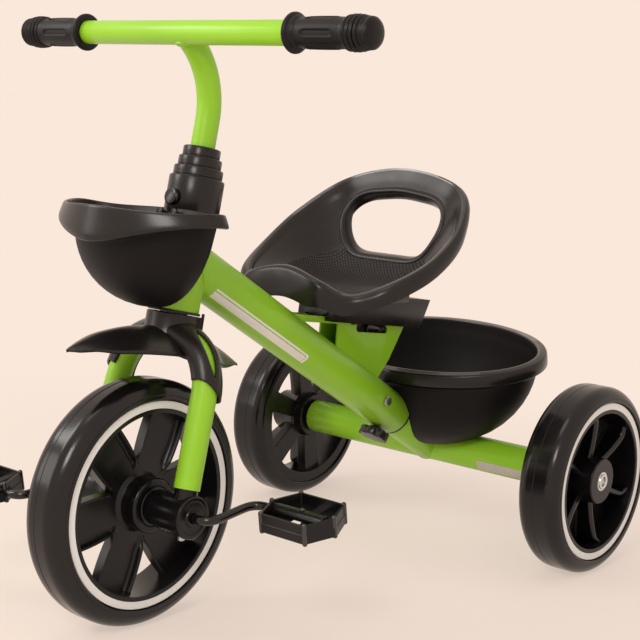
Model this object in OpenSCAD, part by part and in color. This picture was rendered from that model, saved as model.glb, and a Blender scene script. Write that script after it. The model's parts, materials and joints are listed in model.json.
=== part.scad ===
// Children's tricycle: steel frame, pedals on the front wheel, bucket seat and two storage bowls.
// Z is up, the tricycle faces -Y and the rider's left is +X. The origin is on the ground, midway
// between the front of the front tyre and the back of the rear tyres.

/* [Wheels] */
// Outer diameter of the front tyre
front_wheel_d = 250; // [230:1:262]
// Width of the front tyre
front_tyre_w = 51; // [46:1:54]
// Height of the front tyre's section, from rim seat to tread
front_tyre_h = 19; // [16:0.5:22]
// Outer diameter of a rear tyre
rear_wheel_d = 220; // [196:1:232]
// Width of a rear tyre
rear_tyre_w = 53; // [46:1:56]
// Height of a rear tyre's section, from rim seat to tread
rear_tyre_h = 16.5; // [14:0.5:19]
// Straight side wall of a tyre, between its rounded shoulder and the rim
tyre_lip = 1.5; // [1:0.5:4]
// Width of the white ring on a wheel's face
ring_w = 8; // [5:0.5:9]
// Thickness of the white ring
ring_t = 1.5; // [1:0.1:2]
// Width of a front wheel's spoke
front_spoke_w = 50; // [30:1:54]
// Width of a rear wheel's spoke
rear_spoke_w = 30; // [18:1:36]
// Thickness of a spoke, across the wheel
spoke_t = 16; // [8:1:22]
// Spokes in a wheel
spokes = 6; // [5:1:6]
// Outer diameter of a wheel's hub
hub_d = 56; // [50:1:60]

/* [Axles] */
// Distance from the front axle to the rear axle
wheel_base = 503; // [490:1:520]
// Distance between the middles of the rear wheels
rear_track = 446; // [436:1:470]
// Diameter of the rear axle rod
axle_d = 10; // [8:0.5:12]
// Diameter of the bent crank rod
crank_d = 9; // [8:0.5:11]
// Crank throw, from the wheel's axis to a pedal's
crank_throw = 64; // [56:1:72]
// Angle of the crank above level, the left pedal being at the back
crank_angle = 7; // [0:1:20]
// Distance from the middle plane to a crank arm
crank_x = 103; // [98:1:108]
// Clearance round a rod that turns in a bore
run_gap = 0.08; // [0.05:0.01:0.1]
// Gap between pieces that turn past each other
side_gap = 0.8; // [0.5:0.1:1.5]

/* [Pedals] */
// Length of a pedal along its spindle
pedal_l = 84; // [76:1:92]
// Width of a pedal, front to back
pedal_w = 63; // [56:1:72]
// Height of a pedal's cage
pedal_h = 19; // [16:1:24]
// Wall of a pedal's cage
pedal_wall = 5; // [4:0.5:7]
// Tilt of the pedals, back edge up
pedal_tilt = 10; // [0:1:20]

/* [Frame] */
// Diameter of the main tube and the head tube
tube_d = 50; // [47:1:53]
// Wall of the frame tubes
tube_wall = 1.5; // [1.2:0.1:2.5]
// Slope of the main tube
tube_slope = 29.5; // [28:0.5:30]
// Gap between the main tube's lower end and the rear axle's centre
tube_end = 97; // [92:1:104]
// Length of the stub tube inside the main tube
stub_in = 70; // [60:1:90]
// Diameter of the rear beam
beam_d = 42; // [38:1:44]
// Gap between an end of the rear beam and a rear tyre
beam_gap = 6.5; // [5:0.5:10]
// Height of the head tube's lower end above the front axle, along the steering axis
head_s = 193; // [190:1:196]
// Length of the head tube
head_l = 84; // [81:1:86]
// Width over the seat bracket's two plates
bracket_w = 28; // [24:1:34]
// Thickness of a bracket plate
plate_t = 2.5; // [2:0.1:3.5]

/* [Steering] */
// Lean of the steering axis from upright
rake = 11; // [10:0.5:12]
// Distance of the steering axis behind the front axle
fork_offset = 7; // [5:0.5:9]
// Diameter of the steerer tube
steerer_d = 28; // [26:0.5:30]
// Diameter of the fork legs
leg_d = 26; // [23:0.5:28]
// Distance from the middle plane to the lower end of a fork leg
leg_x = 68; // [65:0.5:71]
// Diameter of a bearing housing
housing_d = 43; // [40:1:46]
// Distance from the middle plane to a bearing housing's outer face
housing_x = 82; // [81:0.5:86]
// Largest diameter of the stepped sleeve
sleeve_d = 56; // [53:1:60]
// Height of each of the sleeve's three steps
step_h = 10.2; // [8:0.2:12]
// Inset of each step
step_in = 3; // [2:0.2:4]

/* [Handlebar] */
// Diameter of the handlebar
bar_d = 24; // [22:0.5:26]
// Length over the ends of the grips
bar_l = 480; // [440:2:500]
// Diameter of the stem
stem_d = 25; // [22:0.5:25.5]
// Straight part of the stem above the sleeve
stem_l = 28; // [15:1:40]
// Bend radius of the stem
stem_r = 81; // [70:1:95]
// Angle of the stem's forward bend
stem_bend = 69; // [55:1:75]
// Length of a grip
grip_l = 98; // [88:1:108]
// Diameter of a grip's handle
grip_d = 28; // [27:0.5:32]
// Diameter of a grip's inner flange
flange_d = 38; // [36:1:44]
// Diameter of a grip's end bulb
bulb_d = 34; // [32:1:40]

/* [Seat] */
// Width of the seat between its ridges
seat_w = 248; // [230:2:260]
// Length of the seat from its front crest to the top of its back
seat_l = 207; // [196:1:212]
// Height of the seat's front crest above the rear axle
seat_z = 241; // [238:1:250]
// Distance of the seat's front crest ahead of the rear axle
seat_reach = 292; // [286:1:296]
// Height of the backrest above the front crest
back_h = 105; // [90:1:120]
// Depth of the pan below the front crest
pan_depth = 27; // [22:0.5:28]
// Wall of the moulded seat
seat_wall = 4; // [3:0.5:5]
// Width of the seat's rolled rim
roll_w = 8; // [6:0.5:10]
// Travel of the seat along the bracket's slot
seat_travel = 36; // [24:1:36]

/* [Bowls] */
// Outer width of the rear bowl's rim
rear_bowl_w = 306; // [280:2:320]
// Outer length of the rear bowl's rim, front to back
rear_bowl_l = 200; // [184:2:206]
// Depth of the rear bowl
rear_bowl_h = 118; // [110:1:122]
// Tilt of the rear bowl, front edge down
rear_bowl_tilt = 13; // [10:0.5:14]
// Width of the front bowl's rim
front_bowl_w = 202; // [190:2:212]
// Reach of the front bowl ahead of its back wall
front_bowl_l = 107; // [100:1:110]
// Depth of the front bowl
front_bowl_h = 98; // [92:1:101]
// Wall of both bowls
bowl_wall = 4; // [3:0.5:5]
// Height of the bowls' rim bands
band_h = 16; // [12:1:18]

/* [Hidden] */
$fn = 64;
bite = 0.5;      // overshoot of a cutting solid past the face it cuts
black = "#262325";
gloss_black = "#1a191b";
green = "#8fc61f";
white = "#f1efe9";
steel = "#b8babd";

// Wheels
front_r = front_wheel_d / 2;
rear_r = rear_wheel_d / 2;
front_y = (front_r - wheel_base - rear_r) / 2;
rear_y = front_y + wheel_base;
hub_half = front_tyre_w / 2 + 2.5;
face_in = 2.3;   // depth of a wheel's face inside the tyre's width
lip_w = 4;       // rim left inside the white ring
web_t = 2.5;

// Rear axle, outwards along X
beam_x = rear_track / 2 - rear_tyre_w / 2 - beam_gap;
bush_flange = 3;
rear_hub_in = beam_x + bush_flange + side_gap;
rear_hub_out = rear_track / 2 + rear_tyre_w / 2 - 8;
cap_t = 7;

// Steering axis, from the height of the front axle upwards
steer_y = front_y + fork_offset;
head_top = head_s + head_l;
crown_top = head_s - 2.5 - side_gap;
crown_d = steerer_d + 10;
crown_h = 36;
sleeve_s = head_top + 2.5 + side_gap;
sleeve_main = 47;
sleeve_top = sleeve_s + sleeve_main + 3 * step_h;
bolt_s = sleeve_s + 23;
leg_foot = [leg_x, -8.7, 24];
leg_path = [[61, 0, 130], [47, 0, 156], [14, 0, 172]];
socket_d = leg_d - 2 * tube_wall;

// Stem and handlebar, in the steering axis's own plane
bend_s = sleeve_top + stem_l;
bar_f = stem_r * (1 - cos(stem_bend));
bar_s = bend_s + stem_r * sin(stem_bend);
grip_wall = 3.5;

// Main tube, from the rear axle's centre forwards and up
tube_t = (cos(rake) * (rear_y - steer_y) - sin(rake) * (rear_r - front_r)) / cos(tube_slope - rake);
bolt_t = tube_end + 53;
knob_t = tube_end + 19.5;
bore_d = tube_d - 2 * tube_wall;
stub_d = bore_d - 0.4;

// Seat bracket, in a frame that lies along the slot
slot_slope = 7;
slot_y = rear_y - 151;
slot_z = rear_r + 161;
slot_h = 10;
peg_l = 24;      // length of the seat's sliding peg in the slot
slot_l = seat_travel + peg_l;
skirt_more = 14.5; // extra depth of the seat's skirt between the rider's legs
stripe_l = 172; // length of a stripe on the main tube
stripe_low = 20.2; // how far a stripe's lower edge lies below the tube's middle
front_turn = 8; // turn of the front wheel's spokes

// ---- Frames of reference ----

module steered(s = 0) {
    translate([0, steer_y, front_r]) rotate([-rake, 0, 0]) translate([0, 0, s]) children();
}

module along_tube(t = 0) {
    translate([0, rear_y, rear_r]) rotate([90 - tube_slope, 0, 0]) translate([0, 0, t]) children();
}

module at_front() {
    translate([0, front_y, front_r]) children();
}

module at_rear() {
    translate([0, rear_y, rear_r]) children();
}

module at_slot() {
    translate([0, slot_y, slot_z]) rotate([-slot_slope, 0, 0]) children();
}

// side is 1 for the left pedal and -1 for the right one
module at_pedal(side) {
    at_front() rotate([crank_angle, 0, 0])
        translate([side * (crank_x + 21 + pedal_l / 2), side * crank_throw, 0])
            rotate([pedal_tilt - crank_angle, 0, 0]) children();
}

// ---- Shapes ----

// A rod along X from x0 to x1
module rod_x(d, x0, x1) {
    translate([x0, 0, 0]) rotate([0, 90, 0]) cylinder(d = d, h = x1 - x0);
}

// A straight tube or rod between two points
module rod(a, b, d) {
    v = b - a;
    translate(a) rotate([0, acos(v[2] / norm(v)), atan2(v[1], v[0])]) cylinder(d = d, h = norm(v));
}

// A closed solid through a list of rings with the same number of points, ended by two points
module skin(first, rings, last) {
    n = len(rings[0]);
    m = len(rings);
    pts = concat([first], [for (r = rings) for (p = r) p], [last]);
    faces = concat(
        [for (i = [0:n - 1]) [0, 1 + i, 1 + (i + 1) % n]],
        [for (k = [0:m - 2]) for (i = [0:n - 1])
            [1 + k * n + i, 1 + (k + 1) * n + i, 1 + k * n + (i + 1) % n]],
        [for (k = [0:m - 2]) for (i = [0:n - 1])
            [1 + k * n + (i + 1) % n, 1 + (k + 1) * n + i, 1 + (k + 1) * n + (i + 1) % n]],
        [for (i = [0:n - 1]) [1 + m * n, 1 + (m - 1) * n + (i + 1) % n, 1 + (m - 1) * n + i]]
    );
    polyhedron(pts, faces);
}

// An oval in plan: half-width a, reach front and back, and the power of each half's curve
function oval(angle, a, front, back, p_front, p_back) =
    let (
        c = cos(angle),
        s = sin(angle),
        p = c > 0 ? p_front : p_back,
        b = c > 0 ? front : back
    )
    [a * sign(s) * pow(abs(s), 2 / p), -b * sign(c) * pow(abs(c), 2 / p)];

// ---- Frame ----

module main_tube() {
    color(green) difference() {
        along_tube(tube_end) cylinder(d = tube_d, h = tube_t - tube_end);
        along_tube(tube_end - bite) cylinder(d = bore_d, h = tube_t);
        steered(head_s - 30) cylinder(d = tube_d, h = head_l + 60);
        along_tube(bolt_t) rod_x(6, -tube_d, tube_d);
        along_tube(knob_t) rotate([90, 0, 0]) cylinder(d = 8 + 2 * run_gap, h = tube_d);
    }
}

module head_tube() {
    color(green) difference() {
        steered(head_s) cylinder(d = tube_d, h = head_l);
        steered(head_s - bite) cylinder(d = bore_d, h = head_l + 2 * bite);
    }
}

// One bracket plate, seen from the side, in the slot's frame
module plate_outline() {
    polygon([[-150, 11], [-47, 10], [-40, 3], [64, 10], [40, -36], [5, -82], [-150, -20]]);
}

// A bar with round ends, lying along the slot, from x = 0 to x = w
module slot_bar(h, l, w) {
    for (y = [-l / 2 + h / 2, l / 2 - h / 2]) translate([0, y, 0]) rod_x(h, 0, w);
    translate([0, -l / 2 + h / 2, -h / 2]) cube([w, l - h, h]);
}

module seat_bracket(x0) {
    color(green) difference() {
        translate([x0, 0, 0]) at_slot() rotate([90, 0, 90]) linear_extrude(plate_t) plate_outline();
        along_tube(tube_end - 1) cylinder(d = tube_d, h = tube_t);
        translate([x0 - bite, 0, 0]) at_slot() rotate([90, 0, 90])
            linear_extrude(plate_t + 2 * bite) polygon([[-128, 3], [-64, 3], [-62, -28]]);
        translate([x0 - bite, 0, 0]) at_slot() slot_bar(slot_h, slot_l, plate_t + 2 * bite);
    }
}
module seat_bracket_left() { seat_bracket(bracket_w / 2 - plate_t); }
module seat_bracket_right() { seat_bracket(-bracket_w / 2); }

module stub_tube() {
    color(green) difference() {
        along_tube() cylinder(d = stub_d, h = tube_end + stub_in);
        along_tube(-bite) cylinder(d = stub_d - 2 * tube_wall, h = tube_end + stub_in + 2 * bite);
        at_rear() rod_x(beam_d, -tube_d, tube_d);
        along_tube(bolt_t) rod_x(6, -tube_d, tube_d);
        along_tube(knob_t) rotate([90, 0, 0]) cylinder(d = 8 + 2 * run_gap, h = tube_d);
    }
}

module axle_beam() {
    color(green) at_rear() difference() {
        rod_x(beam_d, -beam_x, beam_x);
        rod_x(beam_d - 2 * tube_wall, -beam_x - bite, beam_x + bite);
        for (x = [-50, 50]) translate([x, 0, 0]) cylinder(d = 5, h = beam_d);
    }
}

module tube_end_ring() {
    color(black) difference() {
        along_tube(tube_end - 3) cylinder(d = tube_d, h = 3);
        along_tube(tube_end - 3 - bite) cylinder(d = stub_d, h = 3 + 2 * bite);
    }
}

// A wide stripe a side with a narrow one above it and round its rear end, laid on the tube's skin
module tube_stripes() {
    color(white) for (side = [-1, 1]) difference() {
        intersection() {
            along_tube(300) cylinder(d = tube_d + 0.6, h = 185);
            along_tube(306) rotate([90, 0, 90]) translate([-stripe_low, 0, side > 0 ? 0 : -tube_d])
                linear_extrude(tube_d) {
                    difference() {
                        stripe(9.5, stripe_l, 4);
                        translate([-1, 3]) stripe(8.5, stripe_l, 3);
                    }
                    translate([0, 4.2]) stripe(6.4, stripe_l - 4.2, 2);
                }
        }
        along_tube(298) cylinder(d = tube_d, h = 189);
    }
}

// A strip with one rounded corner at its start
module stripe(w, l, r) {
    polygon(concat([[0, l], [0, 0]], [for (a = [0:15:90]) [w - r + r * sin(a), r - r * cos(a)]], [[w, l]]));
}

module beam_label() {
    color(white) at_rear() difference() {
        intersection() {
            rod_x(beam_d + 0.6, beam_x - 105, beam_x - 5);
            translate([beam_x - 105, -beam_d, -16]) cube([100, beam_d, 12]);
        }
        rod_x(beam_d, beam_x - 110, beam_x);
    }
}

module beam_bush(side) {
    color(black) at_rear() difference() {
        union() {
            rod_x(beam_d - 2 * tube_wall, side > 0 ? beam_x - 20 : -beam_x, side > 0 ? beam_x : -beam_x + 20);
            rod_x(beam_d, side > 0 ? beam_x : -beam_x - bush_flange, side > 0 ? beam_x + bush_flange : -beam_x);
        }
        rod_x(axle_d, -rear_track, rear_track);
    }
}
module beam_bush_left() { beam_bush(1); }
module beam_bush_right() { beam_bush(-1); }

module rear_axle() {
    color(steel) at_rear() rod_x(axle_d, -rear_hub_out - side_gap - 5, rear_hub_out + side_gap + 5);
}

// Push-on caps that keep the rear wheels on
module axle_caps() {
    color(steel) at_rear() for (side = [-1, 1]) mirror([side > 0 ? 0 : 1, 0, 0]) difference() {
        union() {
            rod_x(24, rear_hub_out + side_gap, rear_hub_out + side_gap + 2);
            rod_x(20, rear_hub_out + side_gap, rear_hub_out + side_gap + cap_t);
        }
        rod_x(axle_d, 0, rear_hub_out + side_gap + 5);
    }
}

module cross_bolt() {
    color(steel) along_tube(bolt_t) {
        rod_x(6, -tube_d / 2 - 7, tube_d / 2);
        rod_x(11, tube_d / 2, tube_d / 2 + 4);
    }
}

module cross_nut() {
    color(steel) along_tube(bolt_t) difference() {
        rotate([0, -90, 0]) translate([0, 0, tube_d / 2]) cylinder(d = 11, h = 5, $fn = 6);
        rod_x(6, -tube_d, 0);
    }
}

// Star knob with its screw, below the main tube
module clamp_knob() {
    color(black) along_tube(knob_t) rotate([90, 0, 0]) {
        translate([0, 0, tube_d / 2 - 12]) cylinder(d = 8, h = 16);
        translate([0, 0, tube_d / 2 + side_gap]) cylinder(d = 16, h = 6);
        translate([0, 0, tube_d / 2 + 4]) difference() {
            cylinder(d = 36, h = 10);
            for (a = [0:45:315]) rotate(a) translate([19.5, 0, -bite]) cylinder(d = 8, h = 10 + 2 * bite);
        }
    }
}

// A plastic headset bush: a plug in the head tube and a flange on its end
module head_bush_lower() {
    color(black) difference() {
        union() {
            steered(head_s) cylinder(d = bore_d, h = 14);
            steered(head_s - 2.5) cylinder(d = tube_d + 3, h = 2.5);
        }
        steered(head_s - 10) cylinder(d = steerer_d + 2 * run_gap, h = 40);
    }
}

module head_bush_upper() {
    color(black) difference() {
        union() {
            steered(head_top - 14) cylinder(d = bore_d, h = 14);
            steered(head_top) cylinder(d = tube_d + 3, h = 2.5);
        }
        steered(head_top - 20) cylinder(d = steerer_d + 2 * run_gap, h = 60);
    }
}

// ---- Seat ----

// The ridge of the seat, from the front crest round the left side to the top of the back:
// sideways as a share of half the width, back as a share of the length, and height as a share
// of the backrest's height above the front crest
seat_ridge = [
    [0, 0, 0], [0.40, -0.01, -0.11], [0.56, 0.12, -0.26], [0.84, 0.24, -0.12], [0.98, 0.49, 0.13],
    [0.95, 0.74, 0.47], [0.66, 0.965, 0.84], [0, 1, 1]
];
ridge_n = 14;
ridge_fine = 4;

function ridge_knot(i) =
    let (k = ((i % ridge_n) + ridge_n) % ridge_n, j = k <= 7 ? k : ridge_n - k, p = seat_ridge[j])
    [(k <= 7 ? 1 : -1) * p[0] * seat_w / 2, p[1] * seat_l, p[2] * back_h];

// A smooth closed curve through the knots
function ridge(i, t) =
    let (a = ridge_knot(i - 1), b = ridge_knot(i), c = ridge_knot(i + 1), d = ridge_knot(i + 2))
    0.5 * (2 * b + (c - a) * t + (2 * a - 5 * b + 4 * c - d) * t * t + (3 * b - a - 3 * c + d) * t * t * t);

seat_mid = [0, seat_l * 0.45, -pan_depth];

// Direction out of the seat at a ridge point, level with the ground
function seat_out(p) = let (v = [p[0], (p[1] - seat_mid[1]), 0]) v / norm(v);

// Steps from the pan's middle out to the ridge, and how far each has risen: at the sides and front
// the pan is dished, at the back the wall stands up
seat_steps = [0.3, 0.55, 0.7, 0.79, 0.87, 0.94, 1];
rise_side = [0.02, 0.16, 0.35, 0.5, 0.67, 0.83, 1];
rise_back = [0, 0.07, 0.26, 0.46, 0.66, 0.85, 1];

// A point of the seat's upper face on the way to a ridge point
function seat_point(p, j) =
    let (
        k = min(1, 1.6 * max(0, (p[1] - seat_mid[1]) / (seat_l - seat_mid[1]))),
        q = seat_mid + (p - seat_mid) * seat_steps[j],
        rise = rise_side[j] + (rise_back[j] - rise_side[j]) * k
    )
    [q[0], q[1], seat_mid[2] + (p[2] - seat_mid[2]) * rise];

seat_curve = [for (i = [ridge_n - 1:-1:0]) for (k = [ridge_fine:-1:1]) ridge(i, k / ridge_fine)];

function seat_loop(j, out, down) =
    [for (p = seat_curve) seat_point(p, j) + seat_out(p) * out - [0, 0, down]];

// The skirt outside the ridge is deeper on the hump between the rider's legs
function seat_skirt(out, down) =
    [for (p = seat_curve)
        let (hump = p[1] > seat_l / 4 ? 0 : max(0, min(1, 1.6 - abs(p[0]) / seat_w * 5)))
        p + seat_out(p) * out - [0, 0, down + skirt_more * hump]];

module seat_shell() {
    w = seat_wall;
    color(black) translate([0, rear_y - seat_reach, rear_r + seat_z]) difference() {
        skin(
            seat_mid,
            [
                for (j = [0:6]) seat_loop(j, 0, 0),
                seat_loop(6, roll_w * 0.5, 1.5),
                seat_loop(6, roll_w * 0.85, 5),
                seat_loop(6, roll_w, 10),
                seat_skirt(roll_w - 1.5, 19),
                seat_skirt(roll_w - 1.5 - w, 19),
                seat_loop(6, roll_w - w, 11),
                for (j = [5:-1:0]) seat_loop(j, w * 0.9 * seat_steps[j], w)
            ],
            seat_mid - [0, 0, w]
        );
        translate([0, seat_l - 80, 0]) rotate([-90, 0, 0]) linear_extrude(140) hand_hole();
        translate([0, seat_reach - rear_y, -rear_r - seat_z]) seat_screw_bores();
    }
}

// The hand hole, seen from behind, with Y pointing down
module hand_hole() {
    hull() {
        translate([0, -back_h * 0.39]) circle(r = back_h * 0.34, $fn = 32);
        for (x = [-1, 1]) translate([x * seat_w * 0.18, -back_h * 0.44]) circle(r = back_h * 0.24, $fn = 32);
        for (x = [-1, 1]) translate([x * seat_w * 0.16, -back_h * 0.22]) circle(r = back_h * 0.18, $fn = 32);
    }
}

// The foot under the seat, which straddles the bracket's plates and slides along them
module seat_foot() {
    gap = 0.5;
    inner = bracket_w / 2 - plate_t - gap;
    top = rear_r + seat_z - pan_depth - seat_wall - 0.3;
    color(black) difference() {
        union() {
            at_slot() rotate([90, 0, 90]) translate([0, 0, -26]) linear_extrude(52)
                polygon([[-90, 5.5], [78, 5.5], [92, 40], [30, 40], [-90, 30]]);
            at_slot() translate([-inner, -34, -16]) cube([2 * inner, 88, 40]);
            translate([-34, slot_y - 50, top - 18]) cube([68, 92, 18]);
        }
        for (x = [-bracket_w / 2 - gap, bracket_w / 2 - plate_t - gap]) at_slot() translate([x, -110, -20])
            cube([plate_t + 2 * gap, 220, 32]);
        translate([-50, slot_y - 200, top]) cube([100, 400, 60]);
        translate([-bracket_w / 2 - 3, 0, 0]) at_slot() slot_bar(slot_h - 1, peg_l, bracket_w + 6);
        seat_screw_bores();
    }
}

module seat_peg() {
    color(gloss_black) translate([-bracket_w / 2 - 1.5, 0, 0]) at_slot()
        slot_bar(slot_h - 1, peg_l, bracket_w + 3);
}

// The seat's four screws stand in these, up into the shell from the foot
module seat_screw_bores() {
    for (x = [-20, 20]) for (y = [-40, -8])
        translate([x, slot_y + y, rear_r + seat_z - pan_depth - 20]) cylinder(d = 5, h = 18);
}

module seat_screws() { color(steel) seat_screw_bores(); }

// ---- Bowls ----

bowl_n = 48;

// A ring of the rear bowl: inset from the rim's edge, at a height in the bowl's own frame
function rear_ring(inset, z) = [for (i = [0:bowl_n - 1])
    let (b = rear_bowl_l / 2 - inset, p = oval(360 * i / bowl_n, rear_bowl_w / 2 - inset, b, b, 2, 2))
    [p[0], p[1], z]];

// A ring of the bowl's body: share q of the way down from rim to bottom, which hangs straight down
function rear_body(q, inset, h) =
    let (s = pow(1 - pow(q, 2.3), 0.5))
    [for (i = [0:bowl_n - 1])
        let (
            a = (rear_bowl_w / 2 - inset) * s,
            b = (rear_bowl_l / 2 - inset) * s,
            p = oval(360 * i / bowl_n, a, b, b, 2, 2)
        )
        [p[0], p[1] - q * h * tan(rear_bowl_tilt), -q * h]];

module at_rear_bowl() {
    translate([0, rear_y - 4, rear_r + beam_d / 2 + rear_bowl_h - 12]) rotate([rear_bowl_tilt, 0, 0])
        children();
}

// Inside of the rear bowl: its floor clears the beam and its front clears the main tube
module rear_cavity() {
    h = rear_bowl_h - bowl_wall;
    difference() {
        at_rear_bowl() skin(
            [0, -h * tan(rear_bowl_tilt), -h],
            [
                for (q = [0.995, 0.95, 0.85, 0.7, 0.5, 0.3, 0.15]) rear_body(q, 9 + bowl_wall, h),
                rear_ring(9 + bowl_wall, 0),
                rear_ring(9 + bowl_wall, 20)
            ],
            [0, 0, 20]
        );
        at_rear() rod_x(beam_d + 2 * bowl_wall, -200, 200);
        along_tube() cylinder(d = tube_d + 1 + 2 * bowl_wall, h = 220);
    }
}

module rear_bowl() {
    h = rear_bowl_h;
    color(black) difference() {
        at_rear_bowl() skin(
            [0, -h * tan(rear_bowl_tilt), -h],
            [
                for (q = [0.995, 0.95, 0.85, 0.7, 0.5, 0.3, 0.15]) rear_body(q, 9, h),
                rear_ring(bowl_wall, -band_h),
                rear_ring(0, -band_h),
                rear_ring(0, -2),
                rear_ring(2, 0)
            ],
            [0, 0, 0]
        );
        rear_cavity();
        at_rear() rod_x(beam_d, -200, 200);
        along_tube() cylinder(d = tube_d + 1, h = 240);
        at_rear() for (x = [-50, 50]) translate([x, 0, 0]) cylinder(d = 5, h = 60);
    }
}

module rear_bowl_screws() {
    color(black) at_rear() for (x = [-50, 50]) translate([x, 0, beam_d / 2 - 8]) {
        cylinder(d = 5, h = 12.5);
        translate([0, 0, 12.2]) cylinder(d = 11, h = 3);
    }
}

// The front bowl stands against the sleeve. Rings are level; y is measured from the back wall.
bowl_back = sleeve_d / 2;
front_in = 16; // inset of the body inside the rim

// Height of the rim band round the bowl, 0 degrees being the front
function front_band(angle) = band_h + 2.5 + 6 * cos(angle) + 4.5 * cos(2 * angle);

// Rise of the rim: highest at the front, and dipping either side of it
function front_rise(angle) = 0.6 + 2.6 * cos(angle) + cos(4 * angle);

function front_rim_point(angle, out, down) =
    let (p = oval(angle, front_bowl_w / 2 + out, front_bowl_l * 0.67 + out, front_bowl_l * 0.32, 1.7, 2.1))
    [p[0], p[1] - front_bowl_l * 0.32, front_rise(angle) - down];

// A point of the bowl's body at a share q of its depth: the front slopes more than the back
function front_body_point(angle, q, inset, h, w) =
    let (
        s = pow(1 - pow(q, 2.2 - 0.6 * cos(angle)), 0.5),
        z = -q * h,
        b = front_bowl_l * 0.29 * s + 3,
        a = (front_bowl_w / 2 - inset) * s,
        p = oval(angle, a, (front_bowl_l * 0.66 - inset) * s, max(1, b - w), 1.9, 3)
    )
    [p[0], p[1] - b + z * tan(rake), z];

function front_body(q, inset, h, w) =
    [for (i = [0:bowl_n - 1]) front_body_point(360 * i / bowl_n, q, inset, h, w)];

// The body's ring where it meets the band's underside, or w higher inside it
function front_neck(inset, h, w) =
    [for (i = [0:bowl_n - 1])
        let (angle = 360 * i / bowl_n)
        front_body_point(angle, (front_band(angle) - front_rise(angle) - w) / h, inset, h, w)];

module at_front_bowl() {
    s = sleeve_s + 12;
    translate([0, steer_y + s * sin(rake) - bowl_back / cos(rake) + 2, front_r + s * cos(rake) + 6]) children();
}

module front_cavity() {
    w = bowl_wall;
    h = front_bowl_h - w;
    difference() {
        at_front_bowl() skin(
            [0, -10 - h * tan(rake), -h],
            [
                for (q = [0.99, 0.93, 0.82, 0.65, 0.45, 0.3]) front_body(q, front_in + w, h, w),
                front_neck(front_in + w, h, w),
                [for (i = [0:bowl_n - 1]) front_rim_point(360 * i / bowl_n, -w, 0)],
                [for (i = [0:bowl_n - 1]) front_rim_point(360 * i / bowl_n, -w, -12)]
            ],
            [0, -front_bowl_l * 0.3, 20]
        );
        steered(100) cylinder(d = sleeve_d + 2 * w, h = 300);
    }
}

module front_bowl() {
    h = front_bowl_h;
    color(black) difference() {
        at_front_bowl() skin(
            [0, -10 - h * tan(rake), -h],
            [
                for (q = [0.99, 0.93, 0.82, 0.65, 0.45, 0.3]) front_body(q, front_in, h, 0),
                front_neck(front_in, h, 0),
                [for (i = [0:bowl_n - 1]) let (a = 360 * i / bowl_n) front_rim_point(a, 1, front_band(a))],
                [for (i = [0:bowl_n - 1]) let (a = 360 * i / bowl_n) front_rim_point(a, 5, front_band(a))],
                [for (i = [0:bowl_n - 1]) front_rim_point(360 * i / bowl_n, 0, 0)]
            ],
            [0, -front_bowl_l * 0.3, 1]
        );
        front_cavity();
        steered(100) cylinder(d = sleeve_d, h = 300);
        steered(sleeve_s + 7) for (x = [-10, 10]) translate([x, 0, 0]) rotate([90, 0, 0])
            cylinder(d = 4, h = 60);
    }
}

module front_bowl_screws() {
    color(steel) steered(sleeve_s + 7) for (x = [-10, 10]) translate([x, 0, 0]) rotate([90, 0, 0]) {
        translate([0, 0, sleeve_d / 2 - 8]) cylinder(d = 4, h = 8 + bowl_wall);
        translate([0, 0, sleeve_d / 2 + bowl_wall]) cylinder(d = 8, h = 2.5);
    }
}

// ---- Fork ----

module fork_crown() {
    color(green) difference() {
        steered(crown_top - crown_h) cylinder(d = crown_d, h = crown_h);
        steered(crown_top - crown_h - bite) cylinder(d = steerer_d, h = crown_h + 2 * bite);
    }
}

module steerer_tube() {
    color(steel) difference() {
        steered(crown_top - crown_h) cylinder(d = steerer_d, h = sleeve_s + sleeve_main - crown_top + crown_h);
        steered(crown_top - crown_h - bite) cylinder(d = stem_d, h = sleeve_s + sleeve_main);
        steered(bolt_s) rotate([90, 0, 0]) cylinder(d = 6, h = 100, center = true);
    }
}

function mirrored(p, side) = [side * p[0], p[1], p[2]];

// The bent part of a leg, as rods and balls
module leg_bend(side, d) {
    steered() for (k = [0:1]) {
        a = mirrored(leg_path[k], side);
        rod(a, mirrored(leg_path[k + 1], side), d);
        translate(a) sphere(d = d + 0.1);
    }
}

module fork_leg(side) {
    foot = mirrored(leg_foot, side);
    knee = mirrored(leg_path[0], side);
    color(green) difference() {
        union() {
            steered() rod(foot, knee, leg_d);
            leg_bend(side, leg_d);
        }
        steered() rod(foot + (foot - knee) * 0.01, knee, socket_d);
        steered(crown_top - crown_h - 20) cylinder(d = crown_d, h = crown_h + 20);
    }
}
module fork_leg_left() { fork_leg(1); }
module fork_leg_right() { fork_leg(-1); }

// Ridge line of the cover over the front wheel, in the steering frame: forward, up, half-width, droop
cover_line = [
    [-121, 145.5, 9, 5], [-108, 153, 18, 9], [-92, 160.5, 29, 15], [-65, 168.5, 36, 20], [-37, 173.5, 40, 23],
    [0, 176, 41, 24], [37, 174.5, 36, 23], [62, 163, 25, 18], [85, 153.5, 13, 8]
];

function cover_ring(c, t) = [
    for (i = [-6:6]) [c[2] * i / 6, c[0], c[1] - c[3] * pow(abs(i / 6), 1.7)],
    for (i = [6:-1:-6]) [c[2] * i / 6 * 0.94, c[0], c[1] - c[3] * pow(abs(i / 6), 1.7) - t]
];

// A round-ended stretch of a lobe over a leg
module lobe(a, b, d) {
    hull() {
        translate(a) sphere(d = d, $fn = 32);
        translate(b) sphere(d = d, $fn = 32);
    }
}

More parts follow.
